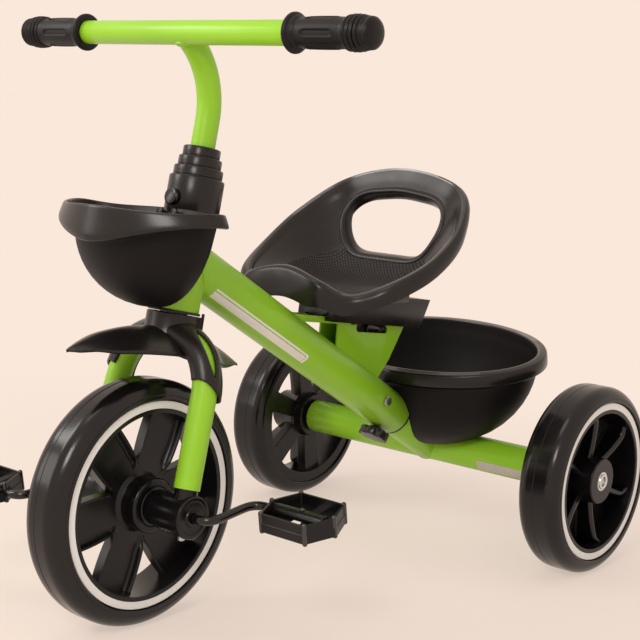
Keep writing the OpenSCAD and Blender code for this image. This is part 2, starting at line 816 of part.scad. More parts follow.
// The cover's lobe over a leg's bend, which ends a little below the knee
module leg_lobe(side, d, drop) {
    knee = mirrored(leg_path[0], side);
    down = mirrored(leg_foot, side) - knee;
    steered() {
        for (k = [0:1]) lobe(mirrored(leg_path[k], side), mirrored(leg_path[k + 1], side), d);
        hull() {
            translate(knee) sphere(d = d, $fn = 32);
            rod(knee, knee + down * drop / norm(down), d, $fn = 32);
        }
    }
}

module crown_cover() {
    color(black) difference() {
        union() {
            steered(crown_top - 24) cylinder(d = tube_d + 4, h = 24, $fn = 72);
            steered() skin([0, -130, 139.5], [for (c = cover_line) cover_ring(c, 3)], [0, 106, 144.5]);
            for (side = [-1, 1]) difference() {
                leg_lobe(side, leg_d + 7, 6);
                for (k = [1:2]) translate([-side * k * 14, 0, 0]) leg_lobe(side, leg_d + 1, 40);
            }
            steered(crown_top - 14) rotate(45) translate([22, -3, 0]) cube([10, 6, 14]);
            steered(crown_top - 14) rotate(45) translate([28, -3, 0]) cube([4, 6, 18]);
        }
        steered(crown_top - crown_h - 20) cylinder(d = crown_d + 1, h = crown_h + 30);
        for (side = [-1, 1]) leg_lobe(side, leg_d + 1, 40);
        for (side = [-1, 1]) steered() rod([side * 80, 0, 136], [side * 60, 0, 172], 9);
    }
}

module sleeve() {
    color(black) difference() {
        union() {
            steered(sleeve_s) cylinder(d = sleeve_d, h = sleeve_main);
            for (k = [0:2]) steered(sleeve_s + sleeve_main + k * step_h - bite)
                cylinder(d = sleeve_d - 2 * step_in * (k + 1), h = step_h + bite);
        }
        steered(sleeve_s - bite) cylinder(d = steerer_d, h = sleeve_main + bite);
        steered(sleeve_s) cylinder(d = stem_d, h = 100);
        steered(bolt_s) rotate([90, 0, 0]) cylinder(d = 6, h = 100, center = true);
        steered(sleeve_s + 7) for (x = [-10, 10]) translate([x, 0, 0]) rotate([90, 0, 0])
            translate([0, 0, sleeve_d / 2 - 8]) cylinder(d = 4, h = 20);
    }
}

module sleeve_bolt() {
    color(gloss_black) steered(bolt_s) rotate([90, 0, 0]) {
        translate([0, 0, -sleeve_d / 2]) cylinder(d = 6, h = sleeve_d);
        translate([0, 0, sleeve_d / 2]) cylinder(d = 17, h = 5);
        translate([0, 0, -sleeve_d / 2 - 5]) cylinder(d = 12, h = 5);
    }
}

module stem() {
    color(green) difference() {
        union() {
            steered(sleeve_s + 8) cylinder(d = stem_d, h = bend_s - sleeve_s - 8);
            steered(bend_s) translate([0, -stem_r, 0]) rotate([90, 0, 90])
                rotate_extrude(angle = stem_bend) translate([stem_r, 0]) circle(d = stem_d);
        }
        steered(bar_s) translate([0, -bar_f, 0]) rod_x(bar_d, -40, 40);
        steered(sleeve_s) cylinder(d = stem_d - 2 * tube_wall - 1, h = bend_s - sleeve_s - 10);
        steered(bolt_s) rotate([90, 0, 0]) cylinder(d = 6, h = 100, center = true);
    }
}

module handlebar() {
    color(green) steered(bar_s) translate([0, -bar_f, 0]) difference() {
        rod_x(bar_d, -bar_l / 2 + grip_wall, bar_l / 2 - grip_wall);
        rod_x(bar_d - 2 * tube_wall, -bar_l, bar_l);
    }
}

module grip(side) {
    color(black) steered(bar_s) translate([0, -bar_f, 0]) mirror([side > 0 ? 0 : 1, 0, 0]) difference() {
        translate([bar_l / 2 - grip_l, 0, 0]) rotate([90, 0, 90]) rotate_extrude() polygon([
            [0, 0], [flange_d / 2 - 2, 0], [flange_d / 2, 2], [flange_d / 2, 5], [flange_d / 2 - 2, 7],
            [grip_d / 2, 9], [grip_d / 2 + 1, grip_l / 2], [grip_d / 2, grip_l - 30],
            [bulb_d / 2, grip_l - 26], [bulb_d / 2, grip_l - 10], [bulb_d / 2 - 5, grip_l - 3],
            [bulb_d / 2 - 11, grip_l], [0, grip_l]
        ]);
        rod_x(bar_d, 0, bar_l / 2 - grip_wall);
    }
}
module grip_left() { grip(1); }
module grip_right() { grip(-1); }

// Bearing housing at the foot of a fork leg, with the socket that the leg stands on
module housing(side) {
    foot = mirrored(leg_foot, side);
    up = mirrored(leg_path[0], side) - foot;
    color(black) difference() {
        union() {
            at_front() mirror([side > 0 ? 0 : 1, 0, 0]) rod_x(housing_d, hub_half + side_gap, housing_x);
            steered() rod(foot - up * 0.2, foot + up * 0.25, socket_d);
        }
        at_front() rod_x(crank_d + 2 * run_gap, -housing_x - bite, housing_x + bite);
        at_front() rod_x(hub_d + 4, -hub_half - side_gap, hub_half + side_gap);
        at_front() housing_screw(side);
    }
}
module housing_left() { housing(1); }
module housing_right() { housing(-1); }

module housing_screw(side) {
    translate([side * (leg_x - 2), 0, -housing_d / 2 - 4]) cylinder(d = 7, h = 8);
}

module housing_screws() {
    color(steel) at_front() for (side = [-1, 1]) housing_screw(side);
}

// ---- Wheels ----

// A tyre's section, turned round the wheel's axis
module tyre(r, w, h) {
    s = h - tyre_lip;
    rotate([0, 90, 0]) rotate_extrude($fn = 96) {
        translate([r - h, -w / 2]) square([tyre_lip, w]);
        translate([r - h, -w / 2 + s]) square([h, w - 2 * s]);
        intersection() {
            translate([r - h, -w / 2]) square([h, w]);
            for (e = [-1, 1]) translate([r - s, e * (w / 2 - s)]) circle(r = s);
        }
    }
}

// Rim, spokes and hub in one moulding, with a thin closed web between the spokes if it is webbed
module rim(r, w, bore, x0, x1, spoke_w, turn, webbed = false) {
    inner = r - ring_w - lip_w - 1;
    half = w / 2 - face_in;
    difference() {
        union() {
            difference() {
                rod_x(2 * r, -half, half);
                rod_x(2 * inner, -half - bite, half + bite);
            }
            rod_x(hub_d, x0, x1);
            translate([-spoke_t / 2, 0, 0]) rotate([90, 0, 90]) linear_extrude(spoke_t)
                for (k = [0:spokes - 1]) rotate(turn + k * 360 / spokes)
                    translate([-spoke_w / 2, 0]) square([spoke_w, inner + 2]);
            if (webbed) rod_x(2 * inner + 2, -spoke_t / 2 + 1, -spoke_t / 2 + 1 + web_t);
        }
        rod_x(bore, x0 - bite, x1 + bite);
        for (e = [-1, 1]) difference() {
            rod_x(2 * (r - 1), e > 0 ? half - ring_t : -half - bite, e > 0 ? half + bite : -half + ring_t);
            rod_x(2 * (r - 1 - ring_w), -half - 2 * bite, half + 2 * bite);
        }
    }
}

module white_ring(r, x0) {
    difference() {
        rod_x(2 * (r - 1), x0, x0 + ring_t);
        rod_x(2 * (r - 1 - ring_w), x0 - bite, x0 + ring_t + bite);
    }
}

module front_tyre() { color(black) at_front() tyre(front_r, front_tyre_w, front_tyre_h); }

module front_rim() {
    r = front_r - front_tyre_h;
    color(black) at_front() rim(r, front_tyre_w, crank_d, -hub_half, hub_half, front_spoke_w, 180 / spokes + front_turn);
}

module front_rings() {
    half = front_tyre_w / 2 - face_in;
    color(white) at_front() for (x = [-half, half - ring_t]) white_ring(front_r - front_tyre_h, x);
}

// One bent rod: axle, two crank arms and two pedal spindles
module crank_rod() {
    color(gloss_black) at_front() {
        rod_x(crank_d, -crank_x, crank_x);
        for (side = [-1, 1]) rotate([crank_angle, 0, 0]) {
            translate([side * crank_x, 0, 0]) sphere(d = crank_d + 0.1);
            rod([side * crank_x, 0, 0], [side * crank_x, side * crank_throw, 0], crank_d);
            translate([side * crank_x, side * crank_throw, 0]) sphere(d = crank_d + 0.1);
            translate([0, side * crank_throw, 0]) mirror([side > 0 ? 0 : 1, 0, 0])
                rod_x(crank_d, crank_x, crank_x + 21 + pedal_l - 8);
        }
    }
}

// ---- Pedals ----

module pedal_plan(inset) {
    l = pedal_l / 2 - inset * 1.3;
    w = pedal_w / 2 - inset;
    k = pedal_l / 3 - inset * 0.4;
    polygon([[l, 0], [k, w], [-k, w], [-l, 0], [-k, -w], [k, -w]]);
}

module pedal(side) {
    color(black) at_pedal(side) difference() {
        union() {
            translate([0, 0, -pedal_h / 2]) linear_extrude(pedal_h) difference() {
                pedal_plan(0);
                pedal_plan(pedal_wall);
            }
            rod_x(17, -pedal_l / 2 + 5, pedal_l / 2 - 5);
            translate([-2, -pedal_w / 2 + 1, -pedal_h / 2 + 2]) cube([4, pedal_w - 2, pedal_h - 4]);
            for (p = [[1, 0], [2 / 3, 0.9], [-2 / 3, 0.9], [-1, 0], [-2 / 3, -0.9], [2 / 3, -0.9]])
                translate([p[0] * (pedal_l / 2 - 3), p[1] * (pedal_w / 2 - 1.5), -pedal_h / 2 - 2])
                    cylinder(d = 5, h = pedal_h + 4);
            translate([0, 0, 6]) cylinder(d = 5, h = pedal_h / 2 - 5);
        }
        rod_x(crank_d + 2 * run_gap, -pedal_l, pedal_l);
    }
}
module pedal_left() { pedal(1); }
module pedal_right() { pedal(-1); }

// Domed cap in the outer end of a pedal's bore
module pedal_cap(side) {
    color(gloss_black) at_pedal(side) mirror([side > 0 ? 0 : 1, 0, 0]) union() {
        rod_x(crank_d, pedal_l / 2 - 7.5, pedal_l / 2);
        rod_x(crank_d + 4, pedal_l / 2, pedal_l / 2 + 3);
    }
}
module pedal_cap_left() { pedal_cap(1); }
module pedal_cap_right() { pedal_cap(-1); }

// ---- Rear wheels ----

module rear_tyre(side) {
    color(black) at_rear() translate([side * rear_track / 2, 0, 0]) tyre(rear_r, rear_tyre_w, rear_tyre_h);
}
module rear_tyre_left() { rear_tyre(1); }
module rear_tyre_right() { rear_tyre(-1); }

module rear_rim(side) {
    x0 = rear_hub_in - rear_track / 2;
    x1 = rear_hub_out - rear_track / 2;
    color(black) at_rear() mirror([side > 0 ? 0 : 1, 0, 0]) translate([rear_track / 2, 0, 0])
        rim(rear_r - rear_tyre_h, rear_tyre_w, axle_d + 2 * run_gap, x0, x1, rear_spoke_w, 0, side > 0);
}
module rear_rim_left() { rear_rim(1); }
module rear_rim_right() { rear_rim(-1); }

module rear_ring(side) {
    half = rear_tyre_w / 2 - face_in;
    color(white) at_rear() mirror([side > 0 ? 0 : 1, 0, 0])
        translate([rear_track / 2, 0, 0]) white_ring(rear_r - rear_tyre_h, half - ring_t);
}
module rear_ring_left() { rear_ring(1); }
module rear_ring_right() { rear_ring(-1); }

main_tube();
head_tube();
seat_bracket_left();
seat_bracket_right();
stub_tube();
axle_beam();
tube_end_ring();
tube_stripes();
beam_label();
beam_bush_left();
beam_bush_right();
rear_axle();
axle_caps();
cross_bolt();
cross_nut();
clamp_knob();
head_bush_lower();
head_bush_upper();
seat_shell();
seat_foot();
seat_peg();
seat_screws();
rear_bowl();
rear_bowl_screws();
fork_crown();
steerer_tube();
fork_leg_left();
fork_leg_right();
crown_cover();
sleeve();
sleeve_bolt();
stem();
handlebar();
grip_left();
grip_right();
front_bowl();
front_bowl_screws();
housing_left();
housing_right();
housing_screws();
front_tyre();
front_rim();
front_rings();
crank_rod();
pedal_left();
pedal_cap_left();
pedal_right();
pedal_cap_right();
rear_tyre_left();
rear_rim_left();
rear_ring_left();
rear_tyre_right();
rear_rim_right();
rear_ring_right();
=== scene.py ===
"""A children's tricycle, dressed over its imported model: green powder-coated steel frame, moulded black seat,
bowls, fork cover, wheels and pedals. Lengths in the settings are millimetres; the mesh is in metres."""

import json
import math

import bmesh
import bpy
from bpy.props import FloatProperty, FloatVectorProperty, IntProperty, PointerProperty
from mathutils import Matrix, Vector
from mathutils.bvhtree import BVHTree
from mathutils.kdtree import KDTree


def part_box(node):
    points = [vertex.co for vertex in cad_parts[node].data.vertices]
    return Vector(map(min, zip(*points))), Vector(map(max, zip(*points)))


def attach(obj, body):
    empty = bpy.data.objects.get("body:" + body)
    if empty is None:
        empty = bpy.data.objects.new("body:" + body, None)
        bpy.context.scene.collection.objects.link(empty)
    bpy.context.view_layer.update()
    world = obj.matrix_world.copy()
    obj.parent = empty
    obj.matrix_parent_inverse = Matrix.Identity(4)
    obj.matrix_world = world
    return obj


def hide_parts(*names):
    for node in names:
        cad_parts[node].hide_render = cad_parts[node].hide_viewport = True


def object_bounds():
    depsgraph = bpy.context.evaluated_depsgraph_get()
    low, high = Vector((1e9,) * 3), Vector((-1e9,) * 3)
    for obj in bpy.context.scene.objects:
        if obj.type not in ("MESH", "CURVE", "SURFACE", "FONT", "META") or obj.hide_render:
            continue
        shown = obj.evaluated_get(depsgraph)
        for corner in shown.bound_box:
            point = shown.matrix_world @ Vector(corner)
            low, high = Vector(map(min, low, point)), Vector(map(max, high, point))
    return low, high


bl_info = {
    "name": "Children's tricycle",
    "version": (1, 0, 0),
    "blender": (4, 5, 0),
    "location": "3D View > Sidebar > Tricycle",
    "description": "Builds the pieces of a children's tricycle round its packed model",
    "category": "Add Mesh",
}

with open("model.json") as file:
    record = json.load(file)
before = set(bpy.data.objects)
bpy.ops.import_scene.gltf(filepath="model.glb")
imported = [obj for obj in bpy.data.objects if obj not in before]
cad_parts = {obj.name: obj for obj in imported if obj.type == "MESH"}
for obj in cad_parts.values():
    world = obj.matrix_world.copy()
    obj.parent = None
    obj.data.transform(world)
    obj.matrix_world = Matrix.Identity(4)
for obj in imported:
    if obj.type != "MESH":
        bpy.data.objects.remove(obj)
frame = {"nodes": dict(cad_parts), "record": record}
CAD_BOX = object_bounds()
BODY_OF = {n: b for b, names in frame["record"]["behaviour"]["bodies"].items() for n in names}
MM = 0.001


def linear(code):
    """An sRGB hex colour as linear red, green, blue and alpha."""
    parts = [int(code[i : i + 2], 16) / 255 for i in (1, 3, 5)]
    return [c / 12.92 if c <= 0.04045 else ((c + 0.055) / 1.055) ** 2.4 for c in parts] + [1.0]


def middle(node):
    low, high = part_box(node)
    return (low + high) / 2


def span(node):
    low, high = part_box(node)
    return (high - low) / MM


# Frames of reference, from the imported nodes
FRONT = middle("front_tyre")
REAR = middle("rear_axle")
RAKE = math.radians(11)
SLOPE = math.radians(29.5)
CRANK_TILT = 7
TUBE_R = 25
STEER_Y = FRONT.y + 7 * MM
STEERED = Matrix.Translation((0, STEER_Y, FRONT.z)) @ Matrix.Rotation(-RAKE, 4, "X")
ALONG_TUBE = Matrix.Translation(REAR) @ Matrix.Rotation(math.pi / 2 - SLOPE, 4, "X")
X_TO_Z = Matrix.Rotation(-math.pi / 2, 4, "Y")
MIRROR_X = Matrix.Scale(-1, 4, (1, 0, 0))
SIDES = (("left", 1), ("right", -1))


def mm(x, y, z):
    """A point given in millimetres."""
    return Vector((x, y, z)) * MM


def around(count):
    """Evenly spaced angles of a whole turn."""
    return [math.tau * i / count for i in range(count)]


def turned(degrees, axis, size=4):
    return Matrix.Rotation(math.radians(degrees), size, axis)


def mirrored(side):
    """Nothing for the left side, and a mirror for the right."""
    return Matrix() if side > 0 else MIRROR_X


def up_steering(height):
    """A place for a piece spun round X, which then stands on the steering axis."""
    return STEERED @ Matrix.Translation((0, 0, height * MM)) @ X_TO_Z


# ---- Settings ----


def size(name, default, description):
    """A length in millimetres."""
    return FloatProperty(name=name, description=description, default=default, min=0.01, soft_max=4 * default)


def colour(name, code, description):
    return FloatVectorProperty(
        name=name, description=description, subtype="COLOR", size=3, min=0, max=1, default=linear(code)[:3]
    )


class TricycleColours(bpy.types.PropertyGroup):
    """Colours of the tricycle's finishes"""

    frame: colour("Frame", "#98d02c", "Powder coat on the steel frame")
    plastic: colour("Plastic", "#1d1918", "Moulded plastic of the seat, cover and sleeve")
    bowl: colour("Bowls", "#131011", "Grained plastic of the bowls")
    tyre: colour("Tyres", "#120f10", "Skin of the foam tyres")
    rim: colour("Rims", "#0f0d0e", "Moulded plastic of the rims and pedals")
    grip: colour("Grips", "#131011", "Rubber of the grips")
    rod: colour("Crank", "#0d0b0c", "Gloss paint on the crank")
    ring: colour("Rings", "#f6f3ee", "Plastic of the wheels' rings")
    stripe: colour("Stripes", "#fdf7f0", "Printed film on the main tube")
    label: colour("Label", "#d8d0c6", "Plain film on the rear beam")
    floor: colour("Floor", "#fae8da", "Paper floor and background")


class TricycleSizes(bpy.types.PropertyGroup):
    """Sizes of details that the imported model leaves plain"""

    weld: size("Weld", 1.6, "Half-width of a weld bead")
    spoke_wall: size("Spoke wall", 3.2, "Raised wall round a gap in the front wheel")
    grip_rings: IntProperty(name="Grip rings", description="Rings on a grip's bulb", default=5, min=2, max=8)


class TricycleView(bpy.types.PropertyGroup):
    """Camera and lamps"""

    azimuth: FloatProperty(name="Azimuth", description="Degrees round from the front", default=39.9)
    elevation: FloatProperty(name="Elevation", description="Degrees above level", default=8.4)
    roll: FloatProperty(name="Roll", description="Turn of the camera about its view, in degrees", default=2.9)
    lens: FloatProperty(name="Lens", description="Focal length on a 36 mm sensor", default=78.63, min=10)
    place: FloatVectorProperty(
        name="Place",
        description="Where the camera stands",
        subtype="TRANSLATION",
        default=(1.0038, -1.172, 0.5167),
    )
    key: FloatProperty(name="Key", description="Power of the main lamp in watts", default=13.0, min=0)
    sky: FloatProperty(name="Sky", description="Strength of the even studio light", default=0.62, min=0)


def colours():
    return bpy.context.scene.tricycle_colours


def sizes():
    return bpy.context.scene.tricycle_sizes


# ---- Materials ----


def add(tree, kind, inputs=None, stops=(), **settings):
    """Adds a node with its settings and a colour ramp's stops, and sets or links its inputs."""
    node = tree.nodes.new(kind)
    for key, value in settings.items():
        setattr(node, key, value)
    for index, (position, colour) in enumerate(stops):
        node.color_ramp.elements[index].position = position
        node.color_ramp.elements[index].color = colour
    for key, value in (inputs or {}).items():
        if isinstance(value, bpy.types.NodeSocket):
            tree.links.new(value, node.inputs[key])
        else:
            node.inputs[key].default_value = value
    return node


def scaled(colour, factor):
    return [min(1, c * factor) for c in colour[:3]] + [1]


def new_material(name):
    material = bpy.data.materials.new(name)
    material.use_nodes = True
    tree = material.node_tree
    place = add(tree, "ShaderNodeTexCoord").outputs["Object"]
    return material, tree, tree.nodes["Principled BSDF"], place


def surface(tree, bsdf, colour, roughness, bump, **sockets):
    """Links what varies over the surface, and sets the rest as numbers."""
    tree.links.new(colour.outputs["Color"], bsdf.inputs["Base Color"])
    tree.links.new(roughness.outputs["Result"], bsdf.inputs["Roughness"])
    tree.links.new(bump.outputs["Normal"], bsdf.inputs["Normal"])
    for name, value in sockets.items():
        bsdf.inputs[name.replace("_", " ")].default_value = value


def moulded(name, base, rough, grain_mm, depth_mm, spread=0.12, patch_mm=60, gloss=0.35):
    """A moulded plastic: patches of slightly different sheen, and the fine grain of the mould's wall."""
    material, tree, bsdf, place = new_material(name)
    patch = add(
        tree, "ShaderNodeTexNoise", {"Vector": place, "Scale": 1000 / patch_mm, "Detail": 4, "Roughness": 0.6}
    )
    grain = add(tree, "ShaderNodeTexNoise", {"Vector": place, "Scale": 1000 / grain_mm, "Detail": 2})
    roughness = add(tree, "ShaderNodeMapRange", {
        "Value": patch.outputs["Fac"],
        "From Min": 0.3, "From Max": 0.7, "To Min": rough - 0.05, "To Max": rough + 0.06,
    })
    bump = add(tree, "ShaderNodeBump", {"Height": grain.outputs["Fac"], "Distance": depth_mm * MM})
    shades = (0.3, scaled(base, 1 - spread)), (0.7, scaled(base, 1 + spread))
    tint = add(tree, "ShaderNodeValToRGB", {"Fac": patch.outputs["Fac"]}, stops=shades)
    surface(tree, bsdf, tint, roughness, bump, IOR=1.49, Specular_IOR_Level=gloss)
    return material


def green_powder_coat():
    """Polyester powder coat baked on steel: a gloss skin with a faint orange peel some 3 mm across."""
    material, tree, bsdf, place = new_material("polyester_powder_coat_green")
    base = colours().frame
    peel = add(tree, "ShaderNodeTexNoise", {"Vector": place, "Scale": 1000 / 3.0, "Detail": 1})
    tone = add(tree, "ShaderNodeTexNoise", {"Vector": place, "Scale": 1000 / 90, "Detail": 3})
    bump = add(tree, "ShaderNodeBump", {"Height": peel.outputs["Fac"], "Distance": 0.012 * MM})
    roughness = add(tree, "ShaderNodeMapRange", {"Value": tone.outputs["Fac"], "To Min": 0.3, "To Max": 0.42})
    shades = (0.3, scaled(base, 0.95)), (0.7, scaled(base, 1.05))
    tint = add(tree, "ShaderNodeValToRGB", {"Fac": tone.outputs["Fac"]}, stops=shades)
    surface(tree, bsdf, tint, roughness, bump, IOR=1.5, Specular_IOR_Level=0.35, Coat_Weight=0.1)
    return material


def seat_pan_painted_rib_light():
    """Polypropylene moulded against a ribbed insert: slanted ribs crossed by others, both 3 mm apart, their
    grooves painted darker and their crests painted lighter as painted shade and painted highlight.
    """
    base = colours().plastic
    material, tree, bsdf, place = new_material("polypropylene_ribbed_black_painted_rib_light")
    slant = (0, 0, math.radians(38))
    slanted = add(tree, "ShaderNodeMapping", {"Vector": place, "Rotation": slant}, vector_type="POINT")
    # A wave of scale 1 repeats every 0.314 m
    wave = {"Vector": slanted.outputs["Vector"], "Scale": 105.0}
    ribs = add(tree, "ShaderNodeTexWave", wave, bands_direction="X")
    cross = add(tree, "ShaderNodeTexWave", wave, bands_direction="Y")
    both = add(tree, "ShaderNodeMath", {0: ribs.outputs["Fac"], 1: cross.outputs["Fac"]}, operation="MULTIPLY")
    bump = add(tree, "ShaderNodeBump", {"Height": both.outputs["Value"], "Distance": 0.5 * MM})
    roughness = add(tree, "ShaderNodeMapRange", {
        "Value": both.outputs["Value"], "To Min": 0.62, "To Max": 0.45,
    })
    # Painted shade and painted highlight: the colour runs from dark in the ribs' grooves to light on their
    # crests
    shades = (0.3, scaled(base, 0.3)), (0.7, scaled(base, 5.5))
    tint = add(tree, "ShaderNodeValToRGB", {"Fac": both.outputs["Value"]}, stops=shades)
    surface(tree, bsdf, tint, roughness, bump, IOR=1.49, Specular_IOR_Level=0.35)
    return material


def plated(name, code, rough, scratch_mm):
    """Zinc-plated steel: bright metal with a fine turned and handled grain."""
    material, tree, bsdf, place = new_material(name)
    grain = add(tree, "ShaderNodeTexNoise", {"Vector": place, "Scale": 1000 / scratch_mm, "Detail": 6})
    roughness = add(tree, "ShaderNodeMapRange", {
        "Value": grain.outputs["Fac"], "To Min": rough - 0.08, "To Max": rough + 0.12,
    })
    bump = add(tree, "ShaderNodeBump", {"Height": grain.outputs["Fac"], "Distance": 0.02 * MM})
    shades = (0.3, scaled(linear(code), 0.85)), (0.7, linear(code))
    tint = add(tree, "ShaderNodeValToRGB", {"Fac": grain.outputs["Fac"]}, stops=shades)
    surface(tree, bsdf, tint, roughness, bump, Metallic=1.0)
    return material


def film(name, base, speck_mm, spread):
    """Printed vinyl film: an even ink with a faint tooth."""
    material, tree, bsdf, place = new_material(name)
    speck = add(tree, "ShaderNodeTexNoise", {"Vector": place, "Scale": 1000 / speck_mm, "Detail": 3})
    roughness = add(tree, "ShaderNodeMapRange", {"Value": speck.outputs["Fac"], "To Min": 0.38, "To Max": 0.5})
    bump = add(tree, "ShaderNodeBump", {"Height": speck.outputs["Fac"], "Distance": 0.01 * MM})
    shades = (0.3, scaled(base, 1 - spread)), (0.7, scaled(base, 1))
    tint = add(tree, "ShaderNodeValToRGB", {"Fac": speck.outputs["Fac"]}, stops=shades)
    surface(tree, bsdf, tint, roughness, bump, IOR=1.5)
    return material


def direct_rays(tree):
    """1 for rays that show the background: those of the camera, and those that metal and glass send on."""
    rays = add(tree, "ShaderNodeLightPath").outputs
    shown = rays["Is Camera Ray"]
    for kind in ("Is Glossy Ray", "Is Transmission Ray"):
        shown = add(tree, "ShaderNodeMath", {0: shown, 1: rays[kind]}, operation="MAXIMUM").outputs["Value"]
    return shown


# What each finish is made by: the mould's grain is drawn coarser than real, so that it shows
FINISHES = {
    "green": green_powder_coat,
    "satin": lambda: moulded("polypropylene_satin_black", colours().plastic, 0.27, 1.1, 0.02, gloss=0.36),
    "bead": lambda: moulded("polypropylene_polished_black", colours().plastic, 0.18, 3.0, 0.004, gloss=0.9),
    "bowl": lambda: moulded("polypropylene_grained_black", colours().bowl, 0.5, 1.4, 0.06, gloss=0.16),
    "pan": seat_pan_painted_rib_light,
    "tyre": lambda: moulded("eva_foam_skin_black", colours().tyre, 0.18, 2.2, 0.01, gloss=0.4),
    "rim": lambda: moulded("abs_moulded_black", colours().rim, 0.28, 1.2, 0.02, gloss=0.34),
    "grip": lambda: moulded("tpr_rubber_black", colours().grip, 0.4, 0.9, 0.04, gloss=0.25),
    "rod": lambda: moulded("gloss_enamel_black", colours().rod, 0.16, 4.0, 0.01, gloss=0.5),
    "ring": lambda: moulded("abs_moulded_white", colours().ring, 0.34, 1.2, 0.01, 0.03, gloss=0.5),
    "stripe": lambda: film("vinyl_film_white", colours().stripe, 6, 0.04),
    "label": lambda: film("vinyl_film_grey", colours().label, 1.5, 0.3),
    "zinc": lambda: plated("zinc_plated_steel", "#c3c4c6", 0.34, 2.0),
    "bright": lambda: plated("bright_zinc_steel", "#dcdcdc", 0.2, 3.0),
}
made = {}


def finish(name):
    if name not in made:
        made[name] = FINISHES[name]()
    return made[name]


# ---- Making pieces ----


def piece(name, bm, body, finishes, replaces=(), place=None, bevel=0.0, sharp=32):
    """Turns a bmesh into a piece on a body: normals out, smooth faces, edges rounded by bevel millimetres."""
    if place is not None:
        bmesh.ops.transform(bm, matrix=place, verts=bm.verts)
    bmesh.ops.remove_doubles(bm, verts=bm.verts, dist=1e-6)
    bmesh.ops.recalc_face_normals(bm, faces=bm.faces)
    limit = math.radians(sharp)
    for face in bm.faces:
        face.smooth = True
    for edge in bm.edges:
        edge.smooth = bool(bevel) or len(edge.link_faces) != 2 or edge.calc_face_angle(0) < limit
    mesh = bpy.data.meshes.new(name)
    bm.to_mesh(mesh)
    bm.free()
    obj = stand(name, mesh)
    finishes = [finishes] if isinstance(finishes, str) else finishes
    for each in finishes:
        mesh.materials.append(finish(each))
    if bevel:
        rounding = obj.modifiers.new("rounded_edges", "BEVEL")
        rounding.width = bevel * MM
        rounding.segments = 2
        rounding.limit_method = "ANGLE"
        rounding.angle_limit = limit
        rounding.harden_normals = True
    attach(obj, body)
    if replaces:
        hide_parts(*replaces)
    return obj


def dress(node, kind, bevel=0.4, sharp=30):
    """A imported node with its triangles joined, its edges rounded and its own finish."""
    bm = bmesh.new()
    bm.from_mesh(frame["nodes"][node].data)
    bmesh.ops.remove_doubles(bm, verts=bm.verts, dist=2e-6)
    bmesh.ops.dissolve_limit(bm, angle_limit=math.radians(0.4), verts=bm.verts, edges=bm.edges)
    return piece(node + "_finished", bm, BODY_OF[node], kind, [node], bevel=bevel, sharp=sharp)


def lathe(bm, profile, steps=96, closed=True):
    """Spins a profile of (along X, radius) points, in millimetres, round the X axis."""
    verts = [bm.verts.new((x * MM, 0, r * MM)) for x, r in profile]
    chain = verts + verts[:1] if closed else verts
    edges = [bm.edges.new(pair) for pair in zip(chain, chain[1:])]
    bmesh.ops.spin(
        bm, geom=verts + edges, cent=(0, 0, 0), axis=(1, 0, 0), angle=math.tau, steps=steps, use_merge=True
    )
    bmesh.ops.remove_doubles(bm, verts=bm.verts, dist=1e-6)


def spun(name, profile, steps, *look, both=False, **more):
    """A piece spun from a profile, which with both is repeated as its mirror image."""
    bm = bmesh.new()
    for side in (1, -1) if both else (1,):
        lathe(bm, [(side * x, r) for x, r in profile], steps)
    return piece(name, bm, *look, **more)


def turn_verts(bm, verts, degrees, axis="X"):
    bmesh.ops.rotate(bm, verts=verts, cent=(0, 0, 0), matrix=turned(degrees, axis, 3))


def block(bm, size, centre):
    """A box from its size and centre in millimetres."""
    verts = bmesh.ops.create_cube(bm, size=1)["verts"]
    bmesh.ops.scale(bm, vec=Vector(size) * MM, verts=verts)
    bmesh.ops.translate(bm, vec=Vector(centre) * MM, verts=verts)
    return verts


def closing_edges(bm, ring):
    return [bm.edges.get(pair) for pair in zip(ring, ring[1:] + ring[:1])]


def arc(x, r, radius, start, end, count=10):
    """Points on an arc of a profile, the angle in degrees from +X towards outwards."""
    angles = [math.radians(start + (end - start) * i / count) for i in range(count + 1)]
    return [(x + radius * math.cos(a), r + radius * math.sin(a)) for a in angles]


def rounded_path(points, reach, count=8):
    """A path of points with its corners replaced by smooth bends that start reach before them."""
    points = [Vector(p) for p in points]
    path = [points[0]]
    for before, corner, after in zip(points, points[1:], points[2:]):
        back, on = before - corner, after - corner
        a = corner + back.normalized() * min(reach, back.length * 0.49)
        b = corner + on.normalized() * min(reach, on.length * 0.49)
        for i in range(count + 1):
            t = i / count
            path.append(a * (1 - t) ** 2 + corner * 2 * t * (1 - t) + b * t * t)
    return path + [points[-1]]


def next_ring(bm, ring):
    """Extrudes a closed ring of vertices, and gives the new ring in the same order."""
    made_now = bmesh.ops.extrude_edge_only(bm, edges=closing_edges(bm, ring))["geom"]
    new = {v for v in made_now if isinstance(v, bmesh.types.BMVert)}
    return [next(e.other_vert(v) for e in v.link_edges if e.other_vert(v) in new) for v in ring]


def sweep(bm, path, radius, sides=32, closed=False):
    """Carries a circle along a path of points in millimetres."""
    path = [Vector(p) * MM for p in path]
    count = len(path)

    def heading(i):
        if closed:
            return (path[(i + 1) % count] - path[i - 1]).normalized()
        return (path[min(i + 1, count - 1)] - path[max(i - 1, 0)]).normalized()

    ring = bmesh.ops.create_circle(bm, segments=sides, radius=radius * MM)["verts"]
    turn = Vector((0, 0, 1)).rotation_difference(heading(0)).to_matrix().to_4x4()
    bmesh.ops.transform(bm, matrix=Matrix.Translation(path[0]) @ turn, verts=ring)
    first = ring
    for i in range(1, count):
        ring = next_ring(bm, ring)
        turn = heading(i - 1).rotation_difference(heading(i)).to_matrix().to_4x4()
        there = Matrix.Translation(path[i]) @ turn @ Matrix.Translation(-path[i - 1])
        bmesh.ops.transform(bm, matrix=there, verts=ring)
    if closed:
        bmesh.ops.bridge_loops(bm, edges=closing_edges(bm, first) + closing_edges(bm, ring))
    else:
        bm.faces.new(first)
        bm.faces.new(ring)


